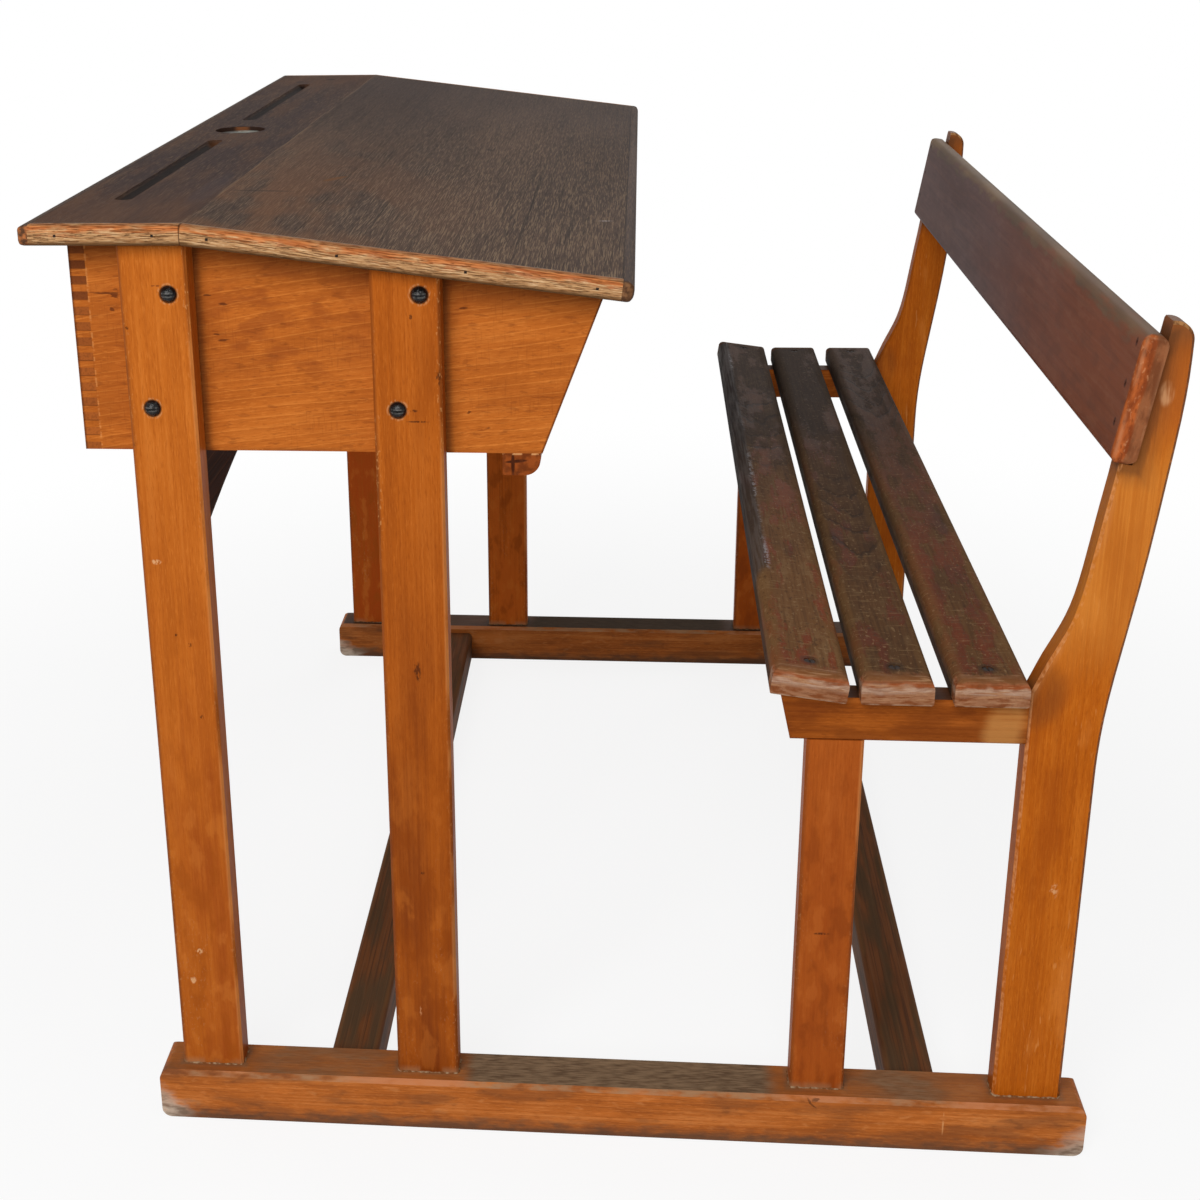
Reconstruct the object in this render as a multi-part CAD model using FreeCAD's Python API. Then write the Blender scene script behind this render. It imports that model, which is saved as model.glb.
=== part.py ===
import FreeCAD, Part
import math
import os

# Double school desk with an attached bench, in millimetres.
# X runs along the desk, Y from the desk to the bench, Z up, origin on the floor at the middle.
# Stations are depths measured from the rear edge of the desk top.

Vector = FreeCAD.Vector
os.makedirs("parts", exist_ok=True)

# Curved back posts: each swept edge is given as shares of its sweep and of its rise
post_station = 727.0
post_width = 53.0
post_height = 681.0
post_crown = 14.0
post_chamfer = 2.2
post_front_bend_gap = 6.0
post_front_straight = 41.0
post_front_sweep = 49.0
post_front_angle = 25.0
post_front_shares = ((0, 0), (0.18, 0.09), (0.47, 0.22), (0.68, 0.4), (0.81, 0.58), (1, 1))
post_rear_bend = 330.0
post_rear_straight = 12.0
post_rear_sweep = 34.0
post_rear_shares = ((0, 0), (0.15, 0.23), (0.52, 0.49), (0.84, 0.77), (1, 1))
overall_depth = post_station + post_width + post_rear_sweep
nose = -overall_depth / 2

# End frames
frame_span = 960.0
leg_thickness = 22.0
leg_chamfer = 1.6
desk_leg_width = 50.0
bench_leg_width = 43.0
rear_leg_station = 66.5
front_leg_station = 246.5
bench_leg_inset = 22.0
runner_toe = 18.5
runner_heel = 19.0
runner_height = 45.0
runner_width = 44.0
runner_set_out = 13.0
runner_chamfer = 3.6
runner_corner = 8.0
leg_out = frame_span / 2
leg_in = leg_out - leg_thickness
leg_middle = leg_out - leg_thickness / 2
runner_out = leg_out + runner_set_out
runner_in = runner_out - runner_width

# Glued joints
tenon_share = 0.4
tenon_shoulder = 6.0
tenon_length = 30.0
stub_tenon = 14.0
tenon_end_gap = 1.0
overrun = 5.0
touch = 0.01

# Cross pieces
stretcher_width = 40.0
stretcher_top = 36.0
stretcher_bottom = 3.0
stretcher_round = 5.0
desk_stretcher_gap = 22.5
bench_stretcher_gap = 39.0
apron_station = 77.0
apron_thickness = 18.0
apron_end_drop = 106.0
apron_middle_drop = 38.0

# Seat
rail_top = 394.0
rail_height = 35.5
rail_undercut = 9.5
rail_break_gap = 8.5
rail_tilt = 7.5
rail_chamfer = 1.5
slat_thickness = 21.0
slat_overhang = 14.0
slat_top_round = 7.0
slat_low_round = 3.0
slat_end_round = 9.0
front_slat_width = 57.0
front_slat_overhang = 9.0
front_slat_gap = 10.5
middle_slat_width = 53.0
middle_slat_gap = 14.5
rear_slat_width = 54.0
rear_slat_gap = 3.0

# Backrest
back_height = 94.0
back_thickness = 17.0
back_overhang = 6.0
back_tilt = 9.3
back_round = 7.0
back_end_round = 8.0
back_plan_round = 6.0
back_set_back = 37.6
back_drop = 6.5
back_nail_shares = (0.28, 0.58, 0.9)

# Book box
box_height = 160.0
box_station = 24.5
box_set_back = 66.5
box_front_lean = 20.6
side_thickness = 15.0
panel_thickness = 12.0
bottom_rebate = 6.0
finger_count = 14
finger_share = 0.5
box_rail_set_back = 1.5
box_rail_width = 28.0
box_rail_height = 17.0
box_rail_round = 12.0
box_rail_soft = 2.0
cleat_size = 18.0
cleat_length = 84.0
front_cleat_gap = 5.5

# Desk top
top_height = 750.0
top_thickness = 15.0
top_overhang = 15.0
top_depth = 433.5
ridge_station = 117.0
slope_angle = 7.2
lipping_width = 8.5
lipping_nose = 6.5
lipping_arris = 4.5
lipping_corner = 6.0

# Pen grooves and inkwell seat in the ledge
groove_start = 70.0
groove_end = 392.0
groove_radius = 7.0
groove_depth = 5.5
groove_station = 48.0
well_gap = 0.9
well_rim_radius = 23.0
well_rim_depth = 7.0
well_radius = 17.6
well_clearance = 0.5
well_flange = 3.5
well_height = 34.0
well_foot_radius = 14.0
well_wall = 3.0
well_mouth_radius = 10.5
well_soft = 1.0

# Fasteners
round_gap = 0.3
bolt_radius = 3.0
bolt_head_radius = 6.0
bolt_head_height = 4.4
upper_bolt_drop = 37.0
upper_bolt_offset = 10.5
lower_bolt_rise = 38.5
lower_bolt_offset = -7.4
bolt_tip = 3.0
slot_width = 1.5
slot_depth = 1.6
washer_radius = 7.5
washer_thickness = 1.2
nut_size = 10.0
nut_thickness = 5.0
screw_radius = 2.0
screw_head_radius = 4.2
screw_head_depth = 2.4
screw_sink = 0.6
screw_length = 38.0
brad_size = 2.0
brad_length = 18.0
brad_sink = 0.8
nail_length = 28.0
ledge_brad_shares = (0.18, 0.82)
board_brad_shares = (0.065, 0.36, 0.65, 0.945)
long_brad_shares = (-0.93, -0.62, -0.31, 0, 0.31, 0.62, 0.93)

# Places worked out from the sizes above
rail_bottom = rail_top - rail_height
rear_slat_station = post_station - rear_slat_gap - rear_slat_width
middle_slat_station = rear_slat_station - middle_slat_gap - middle_slat_width
rail_break_station = middle_slat_station - rail_break_gap
front_slat_station = middle_slat_station - front_slat_gap - front_slat_width
rail_front_station = front_slat_station + front_slat_overhang
bench_leg_station = rail_front_station + bench_leg_inset
bench_stretcher_station = post_station - bench_stretcher_gap - stretcher_width
desk_stretcher_station = front_leg_station - desk_stretcher_gap - stretcher_width
runner_station = rear_leg_station - runner_toe
runner_length = post_station + post_width + runner_heel - runner_station
post_front_bend = rail_top + post_front_bend_gap
post_front_rise = post_height - post_front_straight - post_front_bend
post_rear_rise = post_height - post_crown - post_rear_straight - post_rear_bend
back_station = post_station + back_set_back
back_bottom = post_height - back_drop - back_height
slat_length = frame_span + slat_overhang * 2
back_length = frame_span + back_overhang * 2
top_length = frame_span + top_overhang * 2
side_out = leg_in
side_in = side_out - side_thickness
ledge_under = top_height - top_thickness
box_bottom = ledge_under - box_height
foot_station = top_depth - box_set_back
box_rail_station = foot_station - box_rail_set_back - box_rail_width
well_station = box_station + panel_thickness + well_gap + well_radius
upper_bolt_height = ledge_under - upper_bolt_drop
lower_bolt_height = box_bottom + lower_bolt_rise
legs_middle_station = (rear_leg_station + front_leg_station + desk_leg_width) / 2
rear_cleat_station = legs_middle_station + upper_bolt_offset - cleat_length / 2
front_cleat_station = front_leg_station + desk_leg_width + front_cleat_gap
nose_round = min(lipping_nose, lipping_width, top_thickness / 2)
slope_rise = math.tan(math.radians(slope_angle))
slope_under = top_height - top_thickness / math.cos(math.radians(slope_angle))
top_half = top_length / 2
board_half = top_half - lipping_width
X_AXIS = Vector(1, 0, 0)
Y_AXIS = Vector(0, 1, 0)
Z_AXIS = Vector(0, 0, 1)


def at(station):
    return nose + station


def underside(station):
    return slope_under - (station - ridge_station) * slope_rise


def box(x, y, z):
    corner = Vector(x[0], y[0], z[0])
    return Part.makeBox(x[1] - x[0], y[1] - y[0], z[1] - z[0], corner)


# A closed outline with rounded corners, given as (u, v, radius), drawn across one axis
def outline(corners, axis, level):
    places = {
        "x": lambda u, v: Vector(level, u, v),
        "y": lambda u, v: Vector(u, level, v),
        "z": lambda u, v: Vector(u, v, level),
    }
    points = [places[axis](u, v) for u, v, radius in corners]
    arcs = []
    for index, (u, v, radius) in enumerate(corners):
        here = points[index]
        back = (points[index - 1] - here).normalize()
        ahead = (points[(index + 1) % len(points)] - here).normalize()
        if not radius:
            arcs.append((here, None, here))
            continue
        half = back.getAngle(ahead) / 2
        inward = (back + ahead).normalize()
        reach = radius / math.tan(half)
        middle = here + inward * (radius / math.sin(half) - radius)
        arcs.append((here + back * reach, middle, here + ahead * reach))
    edges = []
    for index, (entry, middle, leave) in enumerate(arcs):
        if middle is not None:
            edges.append(Part.Arc(entry, middle, leave).toShape())
        following = arcs[(index + 1) % len(arcs)][0]
        if not leave.isEqual(following, touch):
            edges.append(Part.makeLine(leave, following))
    return Part.Face(Part.Wire(edges))


def extrude(corners, axis, span):
    direction = {"x": X_AXIS, "y": Y_AXIS, "z": Z_AXIS}[axis]
    return outline(corners, axis, span[0]).extrude(direction * (span[1] - span[0]))


def sharp(points):
    return [(u, v, 0) for u, v in points]


def rectangle(u, v, low, high):
    return [(u[0], v[0], low), (u[1], v[0], low), (u[1], v[1], high), (u[0], v[1], high)]


def chamfered(u, v, cut):
    points = [(u[0] + cut, v[0]), (u[1] - cut, v[0]), (u[1], v[0] + cut), (u[1], v[1] - cut)]
    points += [(u[1] - cut, v[1]), (u[0] + cut, v[1]), (u[0], v[1] - cut), (u[0], v[0] + cut)]
    return sharp(points)


def around(middle, size):
    return (middle - size / 2, middle + size / 2)


def mirrored(shape):
    return shape.mirror(Vector(0, 0, 0), X_AXIS)


def save(name, shapes):
    shape = shapes[0] if len(shapes) == 1 else Part.makeCompound(shapes)
    shape.exportStep("parts/" + name + ".step")


def save_pair(name, shapes):
    save(name + "_left", shapes)
    save(name + "_right", [mirrored(shape) for shape in shapes])


def pipe(radius, start, length, axis):
    return Part.makeCylinder(radius, length, start, axis)


# The sloping half of the top is built level, then swung down about the ridge and trimmed there
def swung(shape):
    ridge = Vector(0, at(ridge_station), top_height)
    turned = shape.copy()
    turned.rotate(ridge, X_AXIS, -slope_angle)
    return turned


def trimmed(shape):
    y = (nose, at(ridge_station))
    return swung(shape).cut(box((-top_length, top_length), y, (0, top_height + top_depth)))


# Tenons: one standing on a leg's end, one along the depth, one along the length
tenon_x = around(leg_middle, leg_thickness * tenon_share)


def standing_tenon(station, width, floor, length):
    y = (at(station) + tenon_shoulder, at(station) + width - tenon_shoulder)
    return box(tenon_x, y, (floor, floor + length))


def foot_tenon(station, width):
    return standing_tenon(station, width, runner_height - tenon_length, tenon_length)


def foot_mortise(station, width):
    depth = tenon_length + tenon_end_gap
    return standing_tenon(station, width, runner_height - depth, depth)


def stretcher_tenon(station, extra):
    y = around(at(station) + stretcher_width / 2, stretcher_width - tenon_shoulder * 2)
    z = (stretcher_bottom + tenon_shoulder, stretcher_top - tenon_shoulder)
    return box((runner_in, runner_in + stub_tenon + extra), y, z)


# Bolt places on each end frame, as (y, z)
bolt_places = []
for station in (rear_leg_station, front_leg_station):
    middle = at(station) + desk_leg_width / 2
    bolt_places.append((middle + upper_bolt_offset, upper_bolt_height))
    bolt_places.append((middle + lower_bolt_offset, lower_bolt_height))
bolt_reach = leg_thickness + side_thickness + washer_thickness + nut_thickness + bolt_tip
bolt_holes = []
for y, z in bolt_places:
    start = Vector(leg_out + overrun, y, z)
    bolt_holes.append(pipe(bolt_radius + round_gap, start, bolt_reach + overrun, -X_AXIS))

# Runners: chamfered along the top, rounded at the ends, mortised for the legs and stretchers
runner_y = (at(runner_station), at(runner_station) + runner_length)
section = [(runner_in, 0), (runner_out, 0), (runner_out, runner_height - runner_chamfer)]
section += [(runner_out - runner_chamfer, runner_height), (runner_in + runner_chamfer, runner_height)]
section += [(runner_in, runner_height - runner_chamfer)]
runner = extrude(sharp(section), "y", runner_y)
side_view = rectangle(runner_y, (0, runner_height), runner_corner, runner_corner)
runner = runner.common(extrude(side_view, "x", (runner_in - overrun, runner_out + overrun)))
feet = [(rear_leg_station, desk_leg_width), (front_leg_station, desk_leg_width)]
feet += [(bench_leg_station, bench_leg_width), (post_station, post_width)]
for station, width in feet:
    runner = runner.cut(foot_mortise(station, width))
for station in (desk_stretcher_station, bench_stretcher_station):
    runner = runner.cut(stretcher_tenon(station, tenon_end_gap))
save_pair("runner", [runner])


# Legs: chamfered posts with a tenon in the runner
def leg(station, width, top):
    y = (at(station), at(station) + width)
    stem = extrude(chamfered((leg_in, leg_out), y, leg_chamfer), "z", (runner_height, top))
    return stem.fuse(foot_tenon(station, width))


# Rear apron with an arched lower edge, tenoned into the rear legs
apron_y = (at(apron_station), at(apron_station) + apron_thickness)
spring = box_bottom - apron_end_drop
crown = box_bottom - apron_middle_drop
low_left = Vector(leg_in, apron_y[0], spring)
low_right = Vector(-leg_in, apron_y[0], spring)
top_left = Vector(leg_in, apron_y[0], box_bottom)
top_right = Vector(-leg_in, apron_y[0], box_bottom)
apron_edges = [Part.Arc(low_right, Vector(0, apron_y[0], crown), low_left).toShape()]
apron_edges += [Part.makeLine(low_left, top_left), Part.makeLine(top_left, top_right)]
apron_edges += [Part.makeLine(top_right, low_right)]
apron = Part.Face(Part.Wire(apron_edges)).extrude(Y_AXIS * apron_thickness)
apron_tenon_y = around(sum(apron_y) / 2, apron_thickness * tenon_share)
apron_tenon_z = (spring + tenon_shoulder, box_bottom - tenon_shoulder)
apron_tenon = box((leg_in, leg_in + stub_tenon), apron_tenon_y, apron_tenon_z)
apron_mortise = box((leg_in, leg_in + stub_tenon + tenon_end_gap), apron_tenon_y, apron_tenon_z)
save("rear_apron", [apron.fuse(apron_tenon).fuse(mirrored(apron_tenon))])

rear_leg = leg(rear_leg_station, desk_leg_width, ledge_under).cut(apron_mortise)
front_leg = leg(front_leg_station, desk_leg_width, top_height)
slope_line = [(at(ridge_station), underside(ridge_station)), (at(top_depth), underside(top_depth))]
slope_line += [(at(top_depth), top_height + overrun), (at(ridge_station), top_height + overrun)]
slope_cut = extrude(sharp(slope_line), "x", (-top_length, top_length))
front_leg = front_leg.cut(slope_cut)
rear_leg = rear_leg.cut(slope_cut)
for hole in bolt_holes:
    rear_leg = rear_leg.cut(hole)
    front_leg = front_leg.cut(hole)
save_pair("desk_rear_leg", [rear_leg])
save_pair("desk_front_leg", [front_leg])

# Stretchers: rounded on top, tenoned into the runners
for name, station in (("desk", desk_stretcher_station), ("bench", bench_stretcher_station)):
    y = (at(station), at(station) + stretcher_width)
    corners = rectangle(y, (stretcher_bottom, stretcher_top), 0, stretcher_round)
    beam = extrude(corners, "x", (-runner_in, runner_in))
    tenon = stretcher_tenon(station, 0)
    save(name + "_stretcher", [beam.fuse(tenon).fuse(mirrored(tenon))])

# Seat slats and their screws: the front one lies on the rail's raised end
tilt_rise = math.tan(math.radians(rail_tilt))
rail_front_top = rail_top + (rail_break_station - rail_front_station) * tilt_rise
screw_profile = [(0, 0), (screw_head_radius, 0), (screw_radius, -screw_head_depth)]
screw_profile += [(screw_radius, -screw_length), (0, -screw_length)]


def turned_screw(x, y, z, grow):
    points = [Vector(x + radius + (grow if radius else 0), y, z + level) for radius, level in screw_profile]
    points[-2].z = points[-2].z - grow
    points[-1].z = points[-1].z - grow
    blank = Part.Face(Part.makePolygon(points + points[:1])).revolve(Vector(x, y, 0), Z_AXIS)
    if grow:
        return blank.fuse(pipe(screw_head_radius + grow, Vector(x, y, z), screw_sink + overrun, Z_AXIS))
    slot_x = around(x, screw_head_radius * 2)
    return blank.cut(box(slot_x, around(y, slot_width), (z - slot_depth / 2, z + overrun)))


def slat(station, width):
    y = (at(station), at(station) + width)
    z = (rail_top, rail_top + slat_thickness)
    long = extrude(rectangle(y, z, slat_low_round, slat_top_round), "x", (-slat_length, slat_length))
    half = slat_length / 2
    return long.common(extrude(rectangle((-half, half), z, slat_low_round, slat_end_round), "y", y))


slats = (
    ("front", front_slat_station, front_slat_width, rail_tilt),
    ("middle", middle_slat_station, middle_slat_width, 0),
    ("rear", rear_slat_station, rear_slat_width, 0),
)
hinge = Vector(0, at(rail_break_station), rail_top)
screw_holes = []
for name, station, width, tilt in slats:
    y = at(station) + width / 2
    z = rail_top + slat_thickness - screw_sink
    pieces = [slat(station, width)]
    for x in (leg_middle, -leg_middle):
        pieces += [turned_screw(x, y, z, 0), turned_screw(x, y, z, round_gap)]
    for piece in pieces:
        piece.rotate(hinge, X_AXIS, -tilt)
    save("seat_slat_" + name, [pieces[0].cut(pieces[2]).cut(pieces[4])])
    save("slat_screw_" + name + "_left", [pieces[1]])
    save("slat_screw_" + name + "_right", [pieces[3]])
    screw_holes += [pieces[2], pieces[4]]


# An edge that shows in a side view of the desk and isn't plumb
def in_side_view(edge):
    return edge.BoundBox.XLength < touch < edge.BoundBox.YLength


# Seat rails: undercut at the front, tenoned into the post, standing on the bench leg
rail_points = [(at(post_station), rail_bottom), (at(rail_front_station) + rail_undercut, rail_bottom)]
rail_points += [(at(rail_front_station), rail_front_top), (at(rail_break_station), rail_top)]
rail_points += [(at(post_station), rail_top)]
rail = extrude(sharp(rail_points), "x", (leg_in, leg_out))
rail_edges = [edge for edge in rail.Edges if edge.BoundBox.ZMin < rail_bottom + touch]
rail = rail.makeChamfer(rail_chamfer, [edge for edge in rail_edges if in_side_view(edge)])
rail_tenon_z = (rail_bottom + tenon_shoulder, rail_top - tenon_shoulder)
rail = rail.fuse(box(tenon_x, (at(post_station), at(post_station) + tenon_length), rail_tenon_z))
rail_mortise = box(tenon_x, (at(post_station), at(post_station) + tenon_length + tenon_end_gap), rail_tenon_z)
rail = rail.cut(standing_tenon(bench_leg_station, bench_leg_width, rail_bottom, stub_tenon + tenon_end_gap))
for hole in screw_holes:
    rail = rail.cut(hole)
save_pair("seat_rail", [rail])
bench_tenon = standing_tenon(bench_leg_station, bench_leg_width, rail_bottom, stub_tenon)
save_pair("bench_front_leg", [leg(bench_leg_station, bench_leg_width, rail_bottom).fuse(bench_tenon)])

# Backrest board, rounded all round, leaning back in notches cut in the posts
back_y = (at(back_station), at(back_station) + back_thickness)
back_z = (back_bottom, back_bottom + back_height)
back_half = back_length / 2
pivot = Vector(0, back_y[0], back_bottom)
board = extrude(rectangle(back_y, back_z, back_round, back_round), "x", (-back_half, back_half))
board = board.common(extrude(rectangle((-back_half, back_half), back_y, back_plan_round, 0), "z", back_z))
end_view = rectangle((-back_half, back_half), back_z, back_end_round, back_end_round)
board = board.common(extrude(end_view, "y", back_y))
notch_x = (leg_in - overrun, leg_out + overrun)
notch = box(notch_x, (back_y[0] - back_thickness, back_y[1]), (back_bottom, post_height + back_height))
back_nails = []
nail_y = (back_y[0] + brad_sink, back_y[0] + brad_sink + nail_length)
nail_holes = []
for share in back_nail_shares:
    z = back_bottom + back_height * share
    nail = box(around(leg_middle, brad_size), nail_y, around(z, brad_size))
    hole = box(around(leg_middle, brad_size), (back_y[0] - overrun, nail_y[1]), around(z, brad_size))
    back_nails += [nail, mirrored(nail)]
    nail_holes += [hole, mirrored(hole)]
for piece in [board, notch] + back_nails + nail_holes:
    piece.rotate(pivot, X_AXIS, -back_tilt)
for hole in nail_holes:
    board = board.cut(hole)
save("backrest_board", [board])
save("backrest_nails", back_nails)


# Curved back posts: straight foot, swept back above the seat, rounded at the top
def post_point(depth, height):
    return Vector(leg_in, at(post_station) + depth, height)


def spline(points, first, last):
    curve = Part.BSplineCurve()
    curve.interpolate(Points=points, InitialTangent=first, FinalTangent=last)
    return curve.toShape()


front_points = []
for depth_share, height_share in post_front_shares:
    height = post_front_bend + post_front_rise * height_share
    front_points.append(post_point(post_front_sweep * depth_share, height))
rear_points = []
for depth_share, height_share in reversed(post_rear_shares):
    height = post_rear_bend + post_rear_rise * height_share
    rear_points.append(post_point(post_width + post_rear_sweep * depth_share, height))
post_back = post_width + post_rear_sweep
front_top = post_point(post_front_sweep, post_height)
rear_top = post_point(post_back, post_height - post_crown)
crown_end = post_point(post_back - post_crown, post_height)
turn = post_crown * (1 - math.sqrt(1 / 2))
crown_middle = post_point(post_back - turn, post_height - turn)
foot_front = post_point(0, runner_height)
foot_rear = post_point(post_width, runner_height)
lean = math.radians(post_front_angle)
front_start = Vector(0, math.sin(lean), math.cos(lean))
post_edges = [Part.makeLine(foot_front, front_points[0]), spline(front_points, front_start, Z_AXIS)]
post_edges += [Part.makeLine(front_points[-1], front_top), Part.makeLine(front_top, crown_end)]
post_edges += [Part.Arc(crown_end, crown_middle, rear_top).toShape(), Part.makeLine(rear_top, rear_points[0])]
post_edges += [spline(rear_points, -Z_AXIS, -Z_AXIS), Part.makeLine(rear_points[-1], foot_rear)]
post_edges += [Part.makeLine(foot_rear, foot_front)]
post = Part.Face(Part.Wire(post_edges)).extrude(X_AXIS * leg_thickness)
post_outline = [edge for edge in post.Edges if edge.BoundBox.XLength < touch]
post_outline = [edge for edge in post_outline if edge.BoundBox.ZMax > runner_height + touch]
post = post.makeChamfer(post_chamfer, post_outline)
post = post.fuse(foot_tenon(post_station, post_width)).cut(rail_mortise).cut(notch)
for hole in nail_holes:
    post = post.cut(hole)
save_pair("back_post", [post])

# Box back: a panel whose fingers run through both sides
back_panel_y = (at(box_station), at(box_station) + panel_thickness)
finger_pitch = (ledge_under - box_bottom) / finger_count
fingers = []
for index in range(finger_count):
    z = box_bottom + index * finger_pitch
    fingers.append(box((side_in, side_out), back_panel_y, (z, z + finger_pitch * finger_share)))
box_back = box((-side_in, side_in), back_panel_y, (box_bottom, ledge_under))
for finger in fingers:
    box_back = box_back.fuse(finger).fuse(mirrored(finger))
save("box_back", [box_back.removeSplitter()])

# Box sides: trapezoids under the top, socketed for the fingers, rebated for the bottom
lean_rise = math.tan(math.radians(box_front_lean))
face_station = (foot_station + (slope_under + ridge_station * slope_rise - box_bottom) * lean_rise)
face_station = face_station / (1 + slope_rise * lean_rise)
side_points = [(at(box_station), box_bottom), (at(foot_station), box_bottom)]
side_points += [(at(face_station), underside(face_station)), (at(ridge_station), slope_under)]
side_points += [(at(ridge_station), ledge_under), (at(box_station), ledge_under)]
side = extrude(sharp(side_points), "x", (side_in, side_out))
bottom_y = (back_panel_y[1], at(foot_station))
bottom_z = (box_bottom, box_bottom + panel_thickness)
side = side.cut(box((side_in - overrun, side_in + bottom_rebate), bottom_y, bottom_z))
for piece in fingers + bolt_holes:
    side = side.cut(piece)
save_pair("box_side", [side])
bottom_half = side_in + bottom_rebate
save("box_bottom", [box((-bottom_half, bottom_half), bottom_y, bottom_z)])

# Front rail under the bottom's edge, with a rounded nose, and cleats that hold the top
rail_y = (at(box_rail_station), at(box_rail_station) + box_rail_width)
rail_z = (box_bottom - box_rail_height, box_bottom)
rail_corners = [(rail_y[0], rail_z[0], box_rail_soft), (rail_y[1], rail_z[0], box_rail_round)]
rail_corners += [(rail_y[1], rail_z[1], 0), (rail_y[0], rail_z[1], 0)]
save("box_front_rail", [extrude(rail_corners, "x", (-side_out, side_out))])
for name, station in (("rear", rear_cleat_station), ("front", front_cleat_station)):
    high = [(at(end), underside(end)) for end in (station, station + cleat_length)]
    low = [(y, z - cleat_size) for y, z in reversed(high)]
    save_pair("top_cleat_" + name, [extrude(sharp(high + low), "x", (side_in - cleat_size, side_in))])


# Brads: square cut pins driven through the lippings
def brad(x, y, z, along):
    near = Vector(x, y, z) + along * brad_sink
    far = near + along * brad_length
    size = brad_size / 2
    low = [min(a, b) - (0 if step else size) for a, b, step in zip(near, far, along)]
    high = [max(a, b) + (0 if step else size) for a, b, step in zip(near, far, along)]
    return box((low[0], high[0]), (low[1], high[1]), (low[2], high[2]))


def brad_hole(x, y, z, along):
    mouth = Vector(x, y, z) - along * (brad_length / 2)
    return brad(x, y, z, along).fuse(brad(mouth.x, mouth.y, mouth.z, along))


top_z = (ledge_under, top_height)
top_middle = sum(top_z) / 2
ledge_run = ridge_station - lipping_width
board_front = at(ridge_station) + (top_depth - ridge_station) / math.cos(math.radians(slope_angle))
board_seam = board_front - lipping_width
ledge_places = []
for share in ledge_brad_shares:
    y = at(lipping_width) + ledge_run * share
    ledge_places += [(top_half, y, -X_AXIS), (-top_half, y, X_AXIS)]
board_places = []
for share in board_brad_shares:
    y = at(ridge_station) + (board_seam - at(ridge_station)) * share
    board_places += [(top_half, y, -X_AXIS), (-top_half, y, X_AXIS)]
for share in long_brad_shares:
    ledge_places.append((board_half * share, nose, Y_AXIS))
    board_places.append((board_half * share, board_front, -Y_AXIS))
ledge_holes = [brad_hole(x, y, top_middle, along) for x, y, along in ledge_places]
board_holes = [brad_hole(x, y, top_middle, along) for x, y, along in board_places]
brads = [brad(x, y, top_middle, along) for x, y, along in ledge_places]
brads += [swung(brad(x, y, top_middle, along)) for x, y, along in board_places]
save("lipping_brads", brads)


def pierced(shape, holes):
    for hole in holes:
        if shape.BoundBox.intersect(hole.BoundBox):
            shape = shape.cut(hole)
    return shape


# Pen ledge: level board with two round-bottomed grooves and a stepped hole for the inkwell
ledge = box((-board_half, board_half), (at(lipping_width), at(ridge_station)), top_z)
groove_level = top_height - groove_depth + groove_radius
for sign in (1, -1):
    first = Vector(sign * (groove_start + groove_radius), at(groove_station), groove_level)
    last = Vector(sign * (groove_end - groove_radius), at(groove_station), groove_level)
    run = pipe(groove_radius, first, (last - first).Length, X_AXIS * sign)
    cutter = run.fuse(Part.makeSphere(groove_radius, first)).fuse(Part.makeSphere(groove_radius, last))
    ledge = ledge.cut(cutter)
well_y = at(well_station)
well_seat = top_height - well_rim_depth
seat_start = Vector(0, well_y, well_seat)
ledge = ledge.cut(pipe(well_rim_radius + well_clearance, seat_start, well_rim_depth + overrun, Z_AXIS))
hole_start = Vector(0, well_y, ledge_under - overrun)
ledge = ledge.cut(pipe(well_radius + well_clearance, hole_start, top_thickness + overrun, Z_AXIS))
save("pen_ledge", [pierced(ledge, ledge_holes)])

# Ledge lippings: the rear one runs full length with a rounded nose, the end ones butt against it
rear_y = (nose, at(lipping_width))
rear_corners = [(rear_y[0], top_z[0], nose_round), (rear_y[1], top_z[0], 0)]
rear_corners += [(rear_y[1], top_z[1], 0), (rear_y[0], top_z[1], nose_round)]
rear_lipping = extrude(rear_corners, "x", (-top_half, top_half))
plan = [(-top_half, rear_y[0], lipping_corner), (top_half, rear_y[0], lipping_corner)]
plan += [(top_half, rear_y[1], 0), (-top_half, rear_y[1], 0)]
lipping_view = rectangle((-top_half, top_half), top_z, lipping_arris, lipping_arris)
rear_lipping = rear_lipping.common(extrude(plan, "z", top_z)).common(extrude(lipping_view, "y", rear_y))
save("ledge_rear_lipping", [pierced(rear_lipping, ledge_holes)])
end_corners = [(board_half, top_z[0], 0), (top_half, top_z[0], lipping_arris)]
end_corners += [(top_half, top_z[1], lipping_arris), (board_half, top_z[1], 0)]
ledge_end = extrude(end_corners, "y", (at(lipping_width), at(ridge_station)))
save_pair("ledge_end_lipping", [pierced(ledge_end, ledge_holes)])

# Writing board and its lippings, swung down from the ridge
board_back = at(ridge_station) - overrun
flat_board = pierced(box((-board_half, board_half), (board_back, board_seam), top_z), board_holes)
save("writing_board", [trimmed(flat_board)])
board_end = extrude(end_corners, "y", (board_back, board_seam))
save_pair("board_end_lipping", [trimmed(pierced(board_end, board_holes))])
front_corners = [(board_seam, top_z[0], 0), (board_front, top_z[0], nose_round)]
front_corners += [(board_front, top_z[1], nose_round), (board_seam, top_z[1], 0)]
front_lipping = extrude(front_corners, "x", (-top_half, top_half))
plan = [(-top_half, board_seam, 0), (top_half, board_seam, 0)]
plan += [(top_half, board_front, lipping_corner), (-top_half, board_front, lipping_corner)]
front_lipping = front_lipping.common(extrude(plan, "z", top_z))
front_lipping = front_lipping.common(extrude(lipping_view, "y", (board_seam, board_front)))
save("board_front_lipping", [swung(pierced(front_lipping, board_holes))])

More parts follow.
